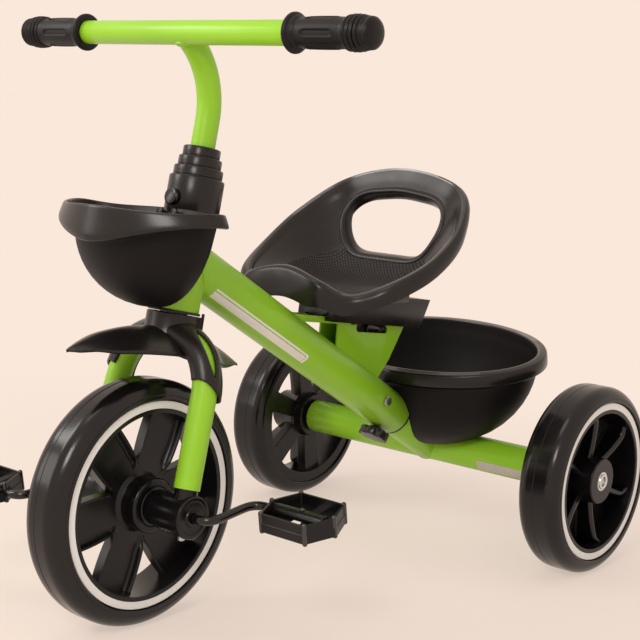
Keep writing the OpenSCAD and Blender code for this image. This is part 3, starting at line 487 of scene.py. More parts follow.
def place_ring(ring, points):
    for vert, point in zip(ring, points):
        vert.co = point


def loft(bm, rings, first=None, last=None, closed=False):
    """Extrudes a ring from section to section, each a list of points in metres, closed on itself or on tips."""
    ring = bmesh.ops.create_circle(bm, segments=len(rings[0]), radius=1)["verts"]
    start = ring
    place_ring(ring, rings[0])
    for points in rings[1:]:
        ring = next_ring(bm, ring)
        place_ring(ring, points)
    if closed:
        bmesh.ops.bridge_loops(bm, edges=closing_edges(bm, start) + closing_edges(bm, ring))
    for end, tip in ((start, first), (ring, last)):
        if tip is not None:
            fan = bmesh.ops.poke(bm, faces=[bm.faces.new(end)])
            fan["verts"][0].co = tip


def sheet(bm, rows):
    """A surface through rows of points in metres, all of the same length."""
    across, along = len(rows[0]) - 1, len(rows) - 1
    grid = bmesh.ops.create_grid(bm, x_segments=along, y_segments=across, size=1)["verts"]
    for vert in grid:
        i, j = round((vert.co.x + 1) / 2 * along), round((vert.co.y + 1) / 2 * across)
        vert.co = rows[i][j]


def smooth(knots, t, closed=False):
    """A point on the smooth curve through the knots, t counting knots."""
    count = len(knots)
    i = min(int(t), count - (1 if closed else 2))
    t -= i

    def knot(k):
        return Vector(knots[k % count] if closed else knots[max(0, min(count - 1, k))])

    a, b, c, d = (knot(i + k) for k in (-1, 0, 1, 2))
    return 0.5 * (2 * b + (c - a) * t + (2 * a - 5 * b + 4 * c - d) * t**2 + (3 * b - a - 3 * c + d) * t**3)


def ease(t):
    t = max(0.0, min(1.0, t))
    return t * t * (3 - 2 * t)


def thickness(obj, wall):
    """Gives a sheet a wall on its inner side."""
    solid = obj.modifiers.new("wall", "SOLIDIFY")
    solid.thickness = wall * MM
    solid.offset = -1
    obj.modifiers.move(len(obj.modifiers) - 1, 0)
    return obj


def meeting(place, radius, other, other_radius, start, way, count=72):
    """Where a tube's skin meets another tube, going from start millimetres along its axis in direction way."""
    path = []
    turn = other.inverted() @ place
    for i in range(count):
        angle = 2 * math.pi * i / count
        base = turn @ Vector((radius * math.cos(angle) * MM, radius * math.sin(angle) * MM, start * MM))
        step = (turn.to_3x3() @ Vector((0, 0, way))).normalized()
        a = step.x**2 + step.y**2
        b = base.x * step.x + base.y * step.y
        c = base.x**2 + base.y**2 - (other_radius * MM) ** 2
        root = math.sqrt(max(0, b * b - a * c))
        path.append((other @ (base + step * (-b - root) / a)) / MM)
    return path


def weld(name, body, path):
    bm = bmesh.new()
    sweep(bm, path, sizes().weld, 10, closed=True)
    return piece(name, bm, body, "green", sharp=180)


# ---- Wheels ----

# Degrees between two of a wheel's six spokes, and from straight up to the first spoke
SPOKE_PITCH = 60
FRONT_SPOKE_START, REAR_SPOKE_START = -8, 10


def tyre_profile(radius, width, height):
    """A tyre's section: round shoulders, a mould line on the tread and a groove beside the rim."""
    shoulder = height - 1.5
    points = []
    for side in (1, -1):
        half = []
        for i in range(41):
            angle = 90 * i / 40
            dip = 0.7 * math.exp(-(((angle - 9) / 1.6) ** 2))
            half.append(arc(width / 2 - shoulder, radius - shoulder, shoulder - dip, angle, angle)[0])
        half = [(width / 2 - 0.8, radius - height), (width / 2, radius - height + 0.8)] + half
        if side > 0:
            points += half + [(-2.2, radius), (-2.7, radius - 0.45), (-3.3, radius - 0.45), (-3.8, radius)]
        else:
            points += [(-x, r) for x, r in reversed(half)]
    return points


def ring_profile(face, inner, outer):
    """A wheel's white ring, which stands out to face along the axle."""
    return [(face, inner), (face, outer), (face - 1.4, outer), (face - 1.4, inner)]


def make_tyre(node, body):
    bm = bmesh.new()
    width, across = span(node).x, span(node).z
    height = 19 if node == "front_tyre" else 16.5
    lathe(bm, tyre_profile(across / 2, width, height), 160)
    place = Matrix.Translation(middle(node))
    if middle(node).x < 0:
        place = place @ MIRROR_X
    piece(node + "_skin", bm, body, "tyre", [node], place, sharp=40)


def barrel_profile(half, seat, ring_in, ring_out, inner, both):
    """A rim's barrel with its recesses for the white rings."""
    outer_side = [
        (half - 0.6, inner - 0.4), (half, inner + 0.4), (half, ring_in), (half - 1.5, ring_in),
        (half - 1.5, ring_out), (half, ring_out), (half, seat - 0.5), (half - 0.5, seat),
    ]
    plain_side = [(half - 0.6, inner - 0.4), (half, inner + 0.4), (half, seat - 0.5), (half - 0.5, seat)]
    other = outer_side if both else plain_side
    middle_part = [(-half * 0.5, inner - 1.6), (half * 0.5, inner - 1.6)]
    return outer_side + [(-x, r) for x, r in reversed(other)] + middle_part


def petal_spokes(bm, gap_start, gap_angle, hub, rim, top, web, wall, low):
    """Six blades that widen towards the rim, each dished between raised walls and open behind."""
    rows, columns = 26, 40

    def gap(radius):
        share = max(0, (radius - gap_start) / (rim - gap_start))
        return gap_angle * min(1, share**0.7) if radius > gap_start else 0

    def spot(i, j):
        radius = hub + (rim - hub) * i / rows
        edge = gap(radius)
        lean = j / columns
        steep = 0.5 - 0.5 * math.cos(math.pi * lean)
        angle = edge + (SPOKE_PITCH - 2 * edge) * (0.35 * lean + 0.65 * steep)
        from_edge = min(angle - edge, SPOKE_PITCH - edge - angle) * math.pi / 180 * radius
        rise = 1 / (1 + math.exp((from_edge - wall) / 0.45))
        near = min(1, max(0, (radius - gap_start + 8) / 14))
        floor = web + (top * 0.55 - web) * max(0, 1 - (radius - hub) / 28) ** 1.4
        height = floor + (top - floor) * rise * near
        turn = math.radians(angle + FRONT_SPOKE_START)
        return Vector((height, radius * math.sin(turn), radius * math.cos(turn))) * MM

    grid = bmesh.ops.create_grid(bm, x_segments=rows, y_segments=columns, size=1)["verts"]
    for vert in grid:
        vert.co = spot(round((vert.co.x + 1) / 2 * rows), round((vert.co.y + 1) / 2 * columns))
    for k in range(1, 6):
        copy = bmesh.ops.duplicate(bm, geom=grid + list({f for v in grid for f in v.link_faces}))["geom"]
        copied = [v for v in copy if isinstance(v, bmesh.types.BMVert)]
        turn_verts(bm, copied, SPOKE_PITCH * k)
    bmesh.ops.remove_doubles(bm, verts=bm.verts, dist=2e-5)
    sides = [
        e for e in bm.edges
        if e.is_boundary and hub + 1 < (e.verts[0].co + e.verts[1].co).yz.length / 2 / MM < rim - 0.2
    ]
    front = bm.faces[:]
    down = bmesh.ops.extrude_edge_only(bm, edges=sides)["geom"]
    for vert in down:
        if isinstance(vert, bmesh.types.BMVert):
            vert.co.x = low * MM
    back = bmesh.ops.duplicate(bm, geom=list({v for f in front for v in f.verts}) + front)["geom"]
    for vert in back:
        if isinstance(vert, bmesh.types.BMVert):
            vert.co.x = min(vert.co.x - 2.2 * MM, (web - 2.2) * MM + (vert.co.x - web * MM) * 0.6)
    bmesh.ops.reverse_faces(bm, faces=[f for f in back if isinstance(f, bmesh.types.BMFace)])
    bmesh.ops.remove_doubles(bm, verts=bm.verts, dist=2e-5)


def make_front_wheel():
    place = Matrix.Translation(FRONT)
    make_tyre("front_tyre", "front_wheel")
    barrel = barrel_profile(23.2, 106, 97, 105, 93, True)
    spun("front_rim_barrel", barrel, 128, "front_wheel", "rim", ["front_rim"], place, bevel=0.3)
    bm = bmesh.new()
    petal_spokes(bm, 44, 15.5, 25, 93.5, 9, 2, sizes().spoke_wall, -2)
    piece("front_rim_spokes", bm, "front_wheel", "rim", (), place, sharp=50)
    half = [(28, 5), (28, 17), (27, 18), (27, 20), (28, 21)] + arc(24.5, 24.5, 3.5, 0, 90, 6)
    half += [(21, 27.6), (16, 25.6), (8, 27), (4, 31), (1, 37)]
    hub = half + [(-x, r) for x, r in reversed(half)]
    spun("front_hub", hub, 72, "front_wheel", "rim", (), place, bevel=0.5, sharp=25)
    ring = ring_profile(23.2, 97.2, 104.8)
    spun(
        "front_rings_finished", ring, 128, "front_wheel", "ring", ["front_rings"], place,
        both=True, bevel=0.35,
    )


def make_main_tube():
    """The main tube, from its open rear end to where it is cut to fit the head tube."""
    far = [Vector(p) * MM for p in meeting(ALONG_TUBE, TUBE_R, STEERED, TUBE_R - 0.4, 300, 1)]
    end = [(100, 22.8), (97.4, 22.8), (97, 23.2), (97, 24.6), (97.4, TUBE_R)]
    rings = [
        [ALONG_TUBE @ mm(radius * math.cos(a), radius * math.sin(a), reach) for a in around(72)]
        for reach, radius in end + [(reach, TUBE_R) for reach in (240, 380, 440)]
    ]
    bm = bmesh.new()
    loft(bm, rings + [far])
    piece("main_tube_cut", bm, "frame", "green", ["main_tube"], sharp=50)


def make_housing(word, side):
    """Bearing housing at a leg's foot: a barrel with a recessed end, and the plug that the leg stands on."""
    barrel = [
        (28.8, 5.2), (28.8, 16.5), (29.8, 17.5), (38, 18.4), (44, 19.6), (46, 20.4), (76, 20.8), (77, 21.5),
        (80.6, 21.5), (82, 20.2), (82, 16.8), (80.8, 15.8), (80.4, 9.6), (82, 8.6), (82, 5.2),
    ]
    place = Matrix.Translation(FRONT) @ mirrored(side)
    node = "housing_" + word
    spun("housing_barrel_" + word, barrel, 64, "steering", "rim", [node], place, bevel=0.4, sharp=25)
    foot, knee = Vector((68 * side, -8.7, 24)), Vector((61 * side, 0, 130))
    bm = bmesh.new()
    sweep(bm, [foot.lerp(knee, share) for share in (-0.15, -0.05, 0.1, 0.2)], 14.6 * 0.79, 32)
    piece("housing_plug_" + word, bm, "steering", "rim", (), STEERED, sharp=60)


def fin_section(t):
    """A fin of the rear wheel across its length: a round back on two sloping sides, hooked at the rim."""
    top = 10 + 9 * t
    shift = 4.5 * math.sin(2.6 * t) - 6.5 * ease((t - 0.8) / 0.2) ** 1.5
    half = [(-7, 6), (top - 9, 4.6), (top - 4, 4.1), (top - 2.2, 3.6), (top - 0.8, 2.3), (top, 0.8)]
    return [Vector((x, y + shift, 24 + 57 * t)) * MM for x, y in half + [(x, -y) for x, y in reversed(half)]]


def make_rear_wheel(side):
    word = "left" if side > 0 else "right"
    body = "rear_wheel_" + word
    tyre = "rear_tyre_" + word
    make_tyre(tyre, body)
    place = Matrix.Translation(middle(tyre)) @ mirrored(side)
    rim, ring = "rear_rim_" + word, "rear_ring_" + word
    barrel = barrel_profile(24.2, 93.5, 84.5, 92.5, 80.5, False)
    spun("rear_rim_barrel_" + word, barrel, 128, body, "rim", [rim], place, bevel=0.3)
    # Plates on the inner side, and a narrow fin along each on the outer side
    bm = bmesh.new()
    for k in range(6):
        plate = block(bm, (14, 29, 62), (-11, 0, 50))
        for vert in plate:
            if vert.co.z < 50 * MM:
                vert.co.y *= 0.72
        turn_verts(bm, plate, SPOKE_PITCH * k + REAR_SPOKE_START)
    piece("rear_spoke_plates_" + word, bm, body, "rim", (), place, bevel=0.9)
    if side > 0:
        web = [(-7.5, 26), (-4.5, 26), (-4.5, 81), (-7.5, 81)]
        spun("rear_web_left", web, 96, body, "rim", (), place, bevel=0.3)
    bm = bmesh.new()
    for k in range(6):
        start = len(bm.verts)
        loft(bm, [fin_section(i / 20) for i in range(21)], fin_section(0)[0], fin_section(1)[0])
        bm.verts.ensure_lookup_table()
        turn_verts(bm, bm.verts[start:], SPOKE_PITCH * k + REAR_SPOKE_START)
    piece("rear_spoke_fins_" + word, bm, body, "rod", (), place, sharp=50)
    low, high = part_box("rear_rim_" + word)
    inner = (low.x if side > 0 else -high.x) / MM - abs(middle(tyre).x) / MM
    outer = (high.x if side > 0 else -low.x) / MM - abs(middle(tyre).x) / MM
    hub = [
        (outer, 5.2), (outer, 25.4), (outer - 1, 26.5), (6, 27.5), (-4, 30), (-16, 33), (-18, 30),
        (inner + 1, 28), (inner, 27), (inner, 5.2),
    ]
    spun("rear_hub_" + word, hub, 64, body, "rim", (), place, bevel=0.6, sharp=25)
    profile = ring_profile(24.2, 84.7, 92.3)
    spun("rear_ring_finished_" + word, profile, 128, body, "ring", [ring], place, bevel=0.35)


# ---- Seat ----

SEAT_W, SEAT_L, BACK_H, PAN = 248, 207, 105, 27
SEAT_MID = Vector((0, SEAT_L * 0.45, -PAN))
SEAT_CREST = Vector((0, REAR.y / MM - 292, REAR.z / MM + 241))
ROLL, SEAT_WALL = 8, 4
# The ridge from the front crest round the left side to the top of the back, as shares of the seat's
# half-width, length and back height
RIDGE = [
    (0, 0, 0), (0.40, -0.01, -0.11), (0.56, 0.12, -0.26), (0.84, 0.24, -0.12), (0.98, 0.49, 0.13),
    (0.95, 0.74, 0.47), (0.66, 0.965, 0.84), (0, 1, 1),
]
# From the pan's middle to the ridge: the share of the way, and of the rise at the sides and at the back
RISE = [
    (0, 0, 0), (0.3, 0.02, 0), (0.55, 0.16, 0.07), (0.7, 0.35, 0.26), (0.79, 0.5, 0.46), (0.87, 0.67, 0.66),
    (0.94, 0.83, 0.85), (1, 1, 1),
]
# Circles whose hull is the hand hole: sideways, height above the crest, radius
HAND_HOLE = [
    (SEAT_W * share, BACK_H * height, BACK_H * radius)
    for share, height, radius in (
        (0, 0.39, 0.34), (0.18, 0.44, 0.24), (-0.18, 0.44, 0.24), (0.16, 0.22, 0.18), (-0.16, 0.22, 0.18))
]


def ridge(turn):
    """The ridge at a share of a turn from the front crest, going left."""
    knots = [(x * SEAT_W / 2, y * SEAT_L, z * BACK_H) for x, y, z in RIDGE]
    loop = knots + [(-x, y, z) for x, y, z in reversed(knots[1:-1])]
    return smooth(loop, (turn % 1) * len(loop), closed=True)


def seat_outward(p):
    return Vector((p.x, p.y - SEAT_MID.y, 0)).normalized()


def seat_point(p, t):
    """A point of the seat's upper face towards ridge point p, t counting the steps of RISE."""
    q, side, back = smooth(RISE, t)
    lean = min(1, 1.6 * max(0, (p.y - SEAT_MID.y) / (SEAT_L - SEAT_MID.y)))
    way = SEAT_MID + (p - SEAT_MID) * q
    roll = 2.2 * ease((q - 0.925) / 0.03) * ease((1.03 - q) / 0.06)
    return Vector((way.x, way.y, SEAT_MID.z + (p.z - SEAT_MID.z) * (side + (back - side) * lean) + roll))


def past_hole(x, z):
    """How far a point seen from the front lies outside the hand hole's outline, and in which direction."""
    far, outward = -1e9, None
    for i in range(72):
        way = Vector((math.cos(math.tau * i / 72), 0, math.sin(math.tau * i / 72)))
        reach = max(cx * way.x + cz * way.z + r for cx, cz, r in HAND_HOLE)
        if x * way.x + z * way.z - reach > far:
            far, outward = x * way.x + z * way.z - reach, way
    return far, outward


def seat_skirt(p, out, down):
    hump = 0 if p.y > SEAT_L / 4 else max(0, min(1, 1.6 - abs(p.x) / SEAT_W * 5))
    return p + seat_outward(p) * out - Vector((0, 0, down + 14.5 * ease(hump)))


def make_seat_shell():
    columns = 216
    edge = [ridge(i / columns) for i in range(columns)]
    steps = [0.4 + 0.3 * i for i in range(11)] + [3.55 + 3.45 * i / 31 for i in range(32)]
    rings = [[seat_point(p, t) for p in edge] for t in steps]
    pan = 9
    for degrees in (20, 40, 60, 80):
        out, down = ROLL * math.sin(math.radians(degrees)), 9 * (1 - math.cos(math.radians(degrees)))
        rings.append([p + seat_outward(p) * out + Vector((0, 0, 1.2 - down)) for p in edge])
    inner = ROLL - SEAT_WALL
    skirt = (ROLL - 0.3, 12.5), (ROLL - 1.2, 18), (ROLL - 1.6, 19), (inner - 0.6, 19), (inner, 12)
    rings += [[seat_skirt(p, out, down) for p in edge] for out, down in skirt]
    below = [
        [seat_point(p, t) + seat_outward(p) * SEAT_WALL * 0.9 * t / 7 - Vector((0, 0, SEAT_WALL)) for p in edge]
        for t in reversed(steps)
    ]
    rings += below
    place = Matrix.Translation(SEAT_CREST * MM)
    bm = bmesh.new()
    under = SEAT_MID - Vector((0, 0, SEAT_WALL))
    loft(bm, [[p * MM for p in ring] for ring in rings], SEAT_MID * MM, under * MM)
    bm.verts.index_update()
    top_edge = {tuple(round(c, 6) for c in seat_point(p, steps[pan]) * MM) for p in edge}
    # The pan, from its middle out to one of the rings, has the insert's ribs, with painted shade in their
    # grooves and painted highlight on their crests
    centre = min(bm.verts, key=lambda v: (v.co - SEAT_MID * MM).length)
    inside, front = set(), [centre]
    while front:
        vert = front.pop()
        for edge_ in vert.link_edges:
            other = edge_.other_vert(vert)
            if other not in inside and tuple(round(c, 6) for c in other.co) not in top_edge:
                inside.add(other)
                front.append(other)
    for face in bm.faces:
        if any(v in inside for v in face.verts):
            face.material_index = 1
    # The hand hole's edge is drawn in to 3 mm from the opening, under the lip
    whole = BVHTree.FromBMesh(bm)
    gone = [
        f for f in bm.faces
        if f.calc_center_median().y > (SEAT_MID.y + 15) * MM
        and f.calc_center_median().y < (SEAT_L - 2) * MM
        and any(past_hole(v.co.x / MM, v.co.z / MM)[0] < 3 for v in f.verts)
    ]
    bmesh.ops.delete(bm, geom=gone, context="FACES")
    for vert in bm.verts:
        if vert.is_boundary:
            far, way = past_hole(vert.co.x / MM, vert.co.z / MM)
            vert.co = whole.find_nearest(vert.co - way * (far - 3) * MM)[0]
    bmesh.ops.bridge_loops(bm, edges=[e for e in bm.edges if e.is_boundary])
    # The ridge is a polished bead
    crest = KDTree(columns)
    for i, p in enumerate(edge):
        crest.insert(p * MM, i)
    crest.balance()
    for face in bm.faces:
        if crest.find(face.calc_center_median())[2] < 3.2 * MM:
            face.material_index = 2
    piece("seat_shell_moulded", bm, "seat", ["satin", "pan", "bead"], ["seat_shell"], place, sharp=70)
    return whole


def hole_outline(count=180):
    """Evenly spaced points on the hand hole's outline, each with its outward direction."""
    corners = []
    for i in range(720):
        way = Vector((math.cos(math.tau * i / 720), 0, math.sin(math.tau * i / 720)))
        x, z, radius = max(HAND_HOLE, key=lambda c: c[0] * way.x + c[1] * way.z + c[2])
        corners.append(Vector((x, 0, z)) + way * radius)
    pairs = list(zip(corners, corners[1:] + corners[:1]))
    whole = sum((b - a).length for a, b in pairs)
    outline, passed = [], 0
    for a, b in pairs:
        along = (b - a).length
        while along and len(outline) < count and len(outline) * whole / count <= passed + along:
            spot = a.lerp(b, (len(outline) * whole / count - passed) / along)
            outline.append((spot, Vector((b.z - a.z, 0, a.x - b.x)).normalized()))
        passed += along
    # Each point is the mean of 17 neighbours, which draws the corners in, and moved back out by 1 mm
    spots = [
        sum((outline[(i + k) % count][0] for k in range(-8, 9)), Vector()) / 17 + outline[i][1]
        for i in range(count)
    ]
    return [
        (spot, Vector((b.z - a.z, 0, a.x - b.x)).normalized())
        for spot, a, b in zip(spots, spots[-1:] + spots, spots[1:] + spots[:1])
    ]


def make_seat_lip(shell):
    """The rolled edge of the hand hole, with the wall of its opening."""
    section = [
        (7.5, 1.0), (6.6, 0), (5.2, -0.9), (3.6, -1.2), (2.2, -0.9), (1, 0.2), (-0.2, 3), (-1, 8),
        (-1.4, 13), (-0.8, 14), (3, 13.5), (6, 9), (7.5, 5),
    ]
    outline, stations = hole_outline(), []
    bases = []
    for at, way in outline:
        probe = at + way * 7.5
        hit = shell.ray_cast(Vector((probe.x, SEAT_MID.y, probe.z)) * MM, Vector((0, 1, 0)))[0]
        bases.append(hit.y / MM if hit else SEAT_L * 0.8)
    for i, (at, way) in enumerate(outline):
        base = sum(bases[(i + k) % len(bases)] for k in range(-3, 4)) / 7
        ring = []
        for out, back in section:
            spot = at + way * (out - 0.5 * max(0, back) * max(0, way.z) ** 0.7)
            ring.append(Vector((spot.x, base + back - (7.5 - out) * 0.55 * way.z, spot.z)) * MM)
        stations.append(ring)
    bm = bmesh.new()
    loft(bm, stations, closed=True)
    piece("seat_hand_hole_lip", bm, "seat", "satin", (), Matrix.Translation(SEAT_CREST * MM), sharp=60)


# ---- Cover over the front wheel ----

# The visor's middle line in the steering frame: back, up, half-width, and droop of the sides as a share of it
VISOR = [
    (-130, 139.5, 0.3, 0.4), (-121, 145.5, 9, 0.55), (-108, 153, 18, 0.5), (-92, 160.5, 29, 0.52),
    (-65, 168.5, 36, 0.56), (-37, 173.5, 40, 0.58), (0, 176, 41, 0.6), (37, 174.5, 36, 0.7),
    (62, 165, 24, 0.9), (85, 156.5, 12, 1),
    (106, 147.5, 0.3, 1),
]


def make_crown_cover():
    bm = bmesh.new()
    rows = []
    for i in range(61):
        t = i / 6
        a, b = VISOR[min(9, int(t))], VISOR[min(10, int(t) + 1)]
        low = smooth([Vector(k[:3]) for k in VISOR], t)
        half = max(0.3, low.z)
        droop = (a[3] + (b[3] - a[3]) * (t - int(t))) * half
        rows.append([
            Vector((half * j / 14, low.x, low.y - droop * abs(j / 14) ** 1.7)) * MM for j in range(-14, 15)
        ])
    sheet(bm, rows)
    thickness(piece("crown_visor", bm, "steering", "satin", ["crown_cover"], STEERED, sharp=60), 2.6)
    for word, side in SIDES:
        make_lobe(word, side)
    top = 189.7
    collar = [
        (top - 30, 20), (top - 30, 31), (top - 20, 28), (top - 14, 27), (top - 1, 27), (top, 26), (top, 20),
    ]
    spun("crown_collar", collar, 72, "steering", "satin", (), up_steering(0), sharp=40)
    bm = bmesh.new()
    for height, depth, reach in ((14, 8, 27), (18, 3, 29.5)):
        turn_verts(bm, block(bm, (depth, 6, height), (reach, 0, top - 14 + height / 2)), 45, "Z")
    piece("crown_lug", bm, "steering", "satin", (), STEERED, bevel=0.4)


def make_lobe(word, side):
    """A shield over a fork leg's shoulder, wide at the collar, with a pointed window that shows the leg."""
    path = rounded_path([(10, 0, 172), (47, 0, 156), (61, 0, 130), (62.5, 0, 109)], 18, 10)
    lengths = [0]
    for a, b in zip(path, path[1:]):
        lengths.append(lengths[-1] + (b - a).length)

    def along(share):
        reach = share * lengths[-1]
        k = next(k for k in range(1, len(path)) if lengths[k] >= reach - 1e-9)
        part = (reach - lengths[k - 1]) / (lengths[k] - lengths[k - 1])
        return path[k - 1].lerp(path[k], part), (path[k] - path[k - 1]).normalized()

    def spot(share, degrees):
        angle = math.radians(degrees)
        hem = 1 - 0.12 * (1 - math.sin(angle))
        centre, ahead = along(min(1, share * hem))
        centre, ahead = centre.copy(), (along(min(1, share * hem + 0.04))[1] + ahead).normalized()
        outward = Vector((-ahead.z, 0, ahead.x)) * -1
        if outward.x < 0:
            outward = -outward
        flare = (1 - share) ** 2.2
        across = Vector((0, 1, 0)) * math.sin(angle) * (16.6 + 7 * flare)
        point = centre + outward * math.cos(angle) * 16.6 + across
        return Vector((side * point.x, point.y, point.z)) * MM

    def slot(share):
        inside = (share - 0.3) / 0.6
        return 17 * math.sin(math.pi * inside) ** 0.8 if 0 < inside < 1 else 0

    bm = bmesh.new()
    middle_line = -12
    for start, end in ((-104, -1), (104, 1)):
        rows = []
        for i in range(49):
            share = i / 48
            brink = middle_line + end * slot(share)
            rows.append([spot(share, brink + (start - brink) * j / 12) for j in range(13)])
        sheet(bm, rows)
    lobe = piece("crown_lobe_" + word, bm, "steering", "satin", (), STEERED, sharp=60)
    thickness(lobe, 2.4)


# ---- Bowls ----


def oval(turn, half, front, back, front_power, back_power):
    c, s = math.cos(turn), math.sin(turn)
    power = front_power if c > 0 else back_power
    reach = front if c > 0 else back

    def rounded(v):
        return math.copysign(abs(v) ** (2 / power), v)

    return half * rounded(s), -reach * rounded(c)


# The rear bowl's half-width, half-length and depth, how far it leans back, and the radii that its inside
# keeps clear of round the beam and the main tube
REAR_W, REAR_L, REAR_DEPTH, REAR_LEAN = 153, 100, 118, 13
OVER_BEAM_R, OVER_TUBE_R = 25, 29.5
REAR_BOWL = Matrix.Translation(REAR + mm(0, -4, 9 + REAR_DEPTH)) @ turned(REAR_LEAN, "X")


def rear_ring(inset, down):
    """A ring of the rear bowl's rim."""
    half, reach = REAR_W - inset, REAR_L - inset
    return [Vector((*oval(turn, half, reach, reach, 2, 2), -down)) for turn in around(96)]


def rear_body(q, inset, depth):
    """A ring of the rear bowl's body at a share q of its depth."""
    shrink = math.sqrt(1 - q**2.3)
    half, reach = (REAR_W - inset) * shrink, (REAR_L - inset) * shrink
    ring = []
    for turn in around(96):
        x, y = oval(turn, half, reach, reach, 2, 2)
        ring.append(Vector((x, y - q * depth * math.tan(math.radians(REAR_LEAN)), -q * depth)))
    return ring


def clear_of_tubes(point):
    """Lifts a point of the rear bowl's inside until it clears the beam and the main tube by a wall."""
    world = REAR_BOWL @ (point * MM)
    off = world - REAR
    if math.hypot(off.y, off.z) < OVER_BEAM_R * MM:
        world.z = REAR.z + math.sqrt((OVER_BEAM_R * MM) ** 2 - off.y**2)
    local = ALONG_TUBE.inverted() @ world
    if math.hypot(local.x, local.y) < OVER_TUBE_R * MM:
        up = math.sqrt((OVER_TUBE_R * MM) ** 2 - local.x**2)
        world = ALONG_TUBE @ Vector((local.x, up, local.z))
    return (REAR_BOWL.inverted() @ world) / MM


def make_rear_bowl():
    shares = [1 - 0.03 * (i / 4) ** 2 for i in range(1, 5)] + [0.92, 0.86, 0.78, 0.7, 0.6, 0.5, 0.4, 0.3, 0.2]
    depth = REAR_DEPTH
    rings = [rear_body(q, 9, depth) for q in shares + [0.16]]
    # The rim's section from below the band, over its top and down the inside: inset, and distance down
    rings += [rear_ring(inset, down) for inset, down in (
        (8.6, 17.4), (8.2, 16.6), (7, 16.2), (1.2, 16), (0.2, 15), (0, 8), (0.3, 2.4), (1.2, 0.6), (2.6, 0),
        (8.4, 0), (9.6, -0.7), (10.8, -0.7), (11.6, 0.2), (12.6, 2), (13, 6),
    )]
    inner = [[clear_of_tubes(p) for p in rear_body(q, 13, depth - 4)] for q in reversed(shares)]
    rings += [rear_body(0.12, 13, depth - 4)] + inner
    tip = Vector((0, -depth * math.tan(math.radians(REAR_LEAN)), -depth))
    bm = bmesh.new()
    inside = clear_of_tubes(tip + Vector((0, 1, 4)))
    loft(bm, [[p * MM for p in ring] for ring in rings], tip * MM, inside * MM)
    for face in bm.faces:
        spot = face.calc_center_median() / MM
        across = math.hypot(spot.x / REAR_W, spot.y / REAR_L)
        if spot.z > -17.5 and across > 0.955:
            face.material_index = 1
        elif spot.z > -1 and across > 0.87:
            face.material_index = 2
    piece("rear_bowl_moulded", bm, "frame", ["bowl", "satin", "bead"], ["rear_bowl"], REAR_BOWL, sharp=75)


# Heights up the steering axis of the sleeve's foot and of the bowl's back, which leans on the sleeve
SLEEVE_S = 280.3
BOWL_S = SLEEVE_S + 12
SLEEVE_R = 28
FRONT_BOWL = Matrix.Translation(mm(
    0,
    STEER_Y / MM + BOWL_S * math.sin(RAKE) - SLEEVE_R / math.cos(RAKE) + 2,
    FRONT.z / MM + BOWL_S * math.cos(RAKE) + 6,
))
BOWL_W, BOWL_L, BOWL_H = 202, 107, 98


def front_band(turn):
    """Depth of the rim's band: even round the sides and back, and deep at the front."""
    return 12.5 + 21.5 * max(0, math.cos(turn)) ** 4


def front_rise(turn):
    """Height of the rim's top: highest at the front, and dipping either side of it."""
    return 0.6 + 2.6 * math.cos(turn) + math.cos(4 * turn)


def front_rim(turn, out, down):
    x, y = oval(turn, BOWL_W / 2 + out, BOWL_L * 0.67 + out, BOWL_L * 0.32, 1.7, 2.1)
    return Vector((x, y - BOWL_L * 0.32, front_rise(turn) - down))


def front_body(turn, q, inset, depth, wall):
    shrink = math.sqrt(max(0, 1 - q ** (2.35 - 0.35 * math.cos(turn))))
    back = BOWL_L * 0.29 * shrink + 3
    half, front = (BOWL_W / 2 - inset) * shrink, (BOWL_L * 0.66 - inset) * shrink
    x, y = oval(turn, half, front, max(1, back - wall), 1.9, 3)
    return Vector((x, y - back - q * depth * math.tan(RAKE), -q * depth))


def make_front_bowl():
    turns = around(120)

    def neck(turn, inset, depth, wall, down=0.0):
        return front_body(turn, (front_band(turn) - front_rise(turn) - wall + down) / depth, inset, depth, wall)

    shares = [0.995, 0.98, 0.95, 0.91, 0.86, 0.8, 0.73, 0.65, 0.57, 0.49, 0.41, 0.34]
    rings = [[front_body(t, q, 16, BOWL_H, 0) for t in turns] for q in shares]
    for inset, down in ((16, 3), (16, 0.6), (15.4, 0)):
        rings.append([neck(t, inset, BOWL_H, 0, down) for t in turns])
    for out, up in ((3.4, 0), (4.6, 0.8)):
        rings.append([front_rim(t, out, front_band(t) - up) for t in turns])
    for share, out in ((0.8, 4.4), (0.6, 3.4), (0.4, 2.2), (0.2, 0.9), (0.1, 0.2)):
        rings.append([front_rim(t, out, max(1.2, front_band(t) * share)) for t in turns])
    for out, down in ((-0.4, 0.5), (-1.4, 0.0), (-3.4, 0.0), (-4.4, 0.5), (-4.8, 1.6)):
        rings.append([front_rim(t, out, down) for t in turns])
    rings.append([neck(t, 20, BOWL_H - 4, 4, 2) for t in turns])
    rings += [[front_body(t, q, 20, BOWL_H - 4, 4) for t in turns] for q in reversed(shares)]
    bm = bmesh.new()
    lean = math.tan(RAKE)
    tips = [mm(0, -10 - deep * lean, -deep) for deep in (BOWL_H, BOWL_H - 4)]
    loft(bm, [[p * MM for p in ring] for ring in rings], *tips)
    # The rim's band is satin: faces above its lower edge that lie outside the bowl's own oval
    for face in bm.faces:
        x, y, z = face.calc_center_median() / MM
        turn = math.atan2(x, -y - 0.32 * BOWL_L)
        lower_edge = front_rise(turn) - front_band(turn) - 2
        if z > lower_edge and min(v.co.z for v in face.verts) > -40 * MM:
            reach = BOWL_L * 0.67 - 8 if abs(turn) < 1.57 else 30
            outside = math.hypot(x / (BOWL_W / 2 - 8), (y + 0.32 * BOWL_L) / reach)
            face.material_index = 1 if outside > 1 else 0
    piece("front_bowl_moulded", bm, "steering", ["bowl", "satin"], ["front_bowl"], FRONT_BOWL, sharp=75)


# ---- Grips ----

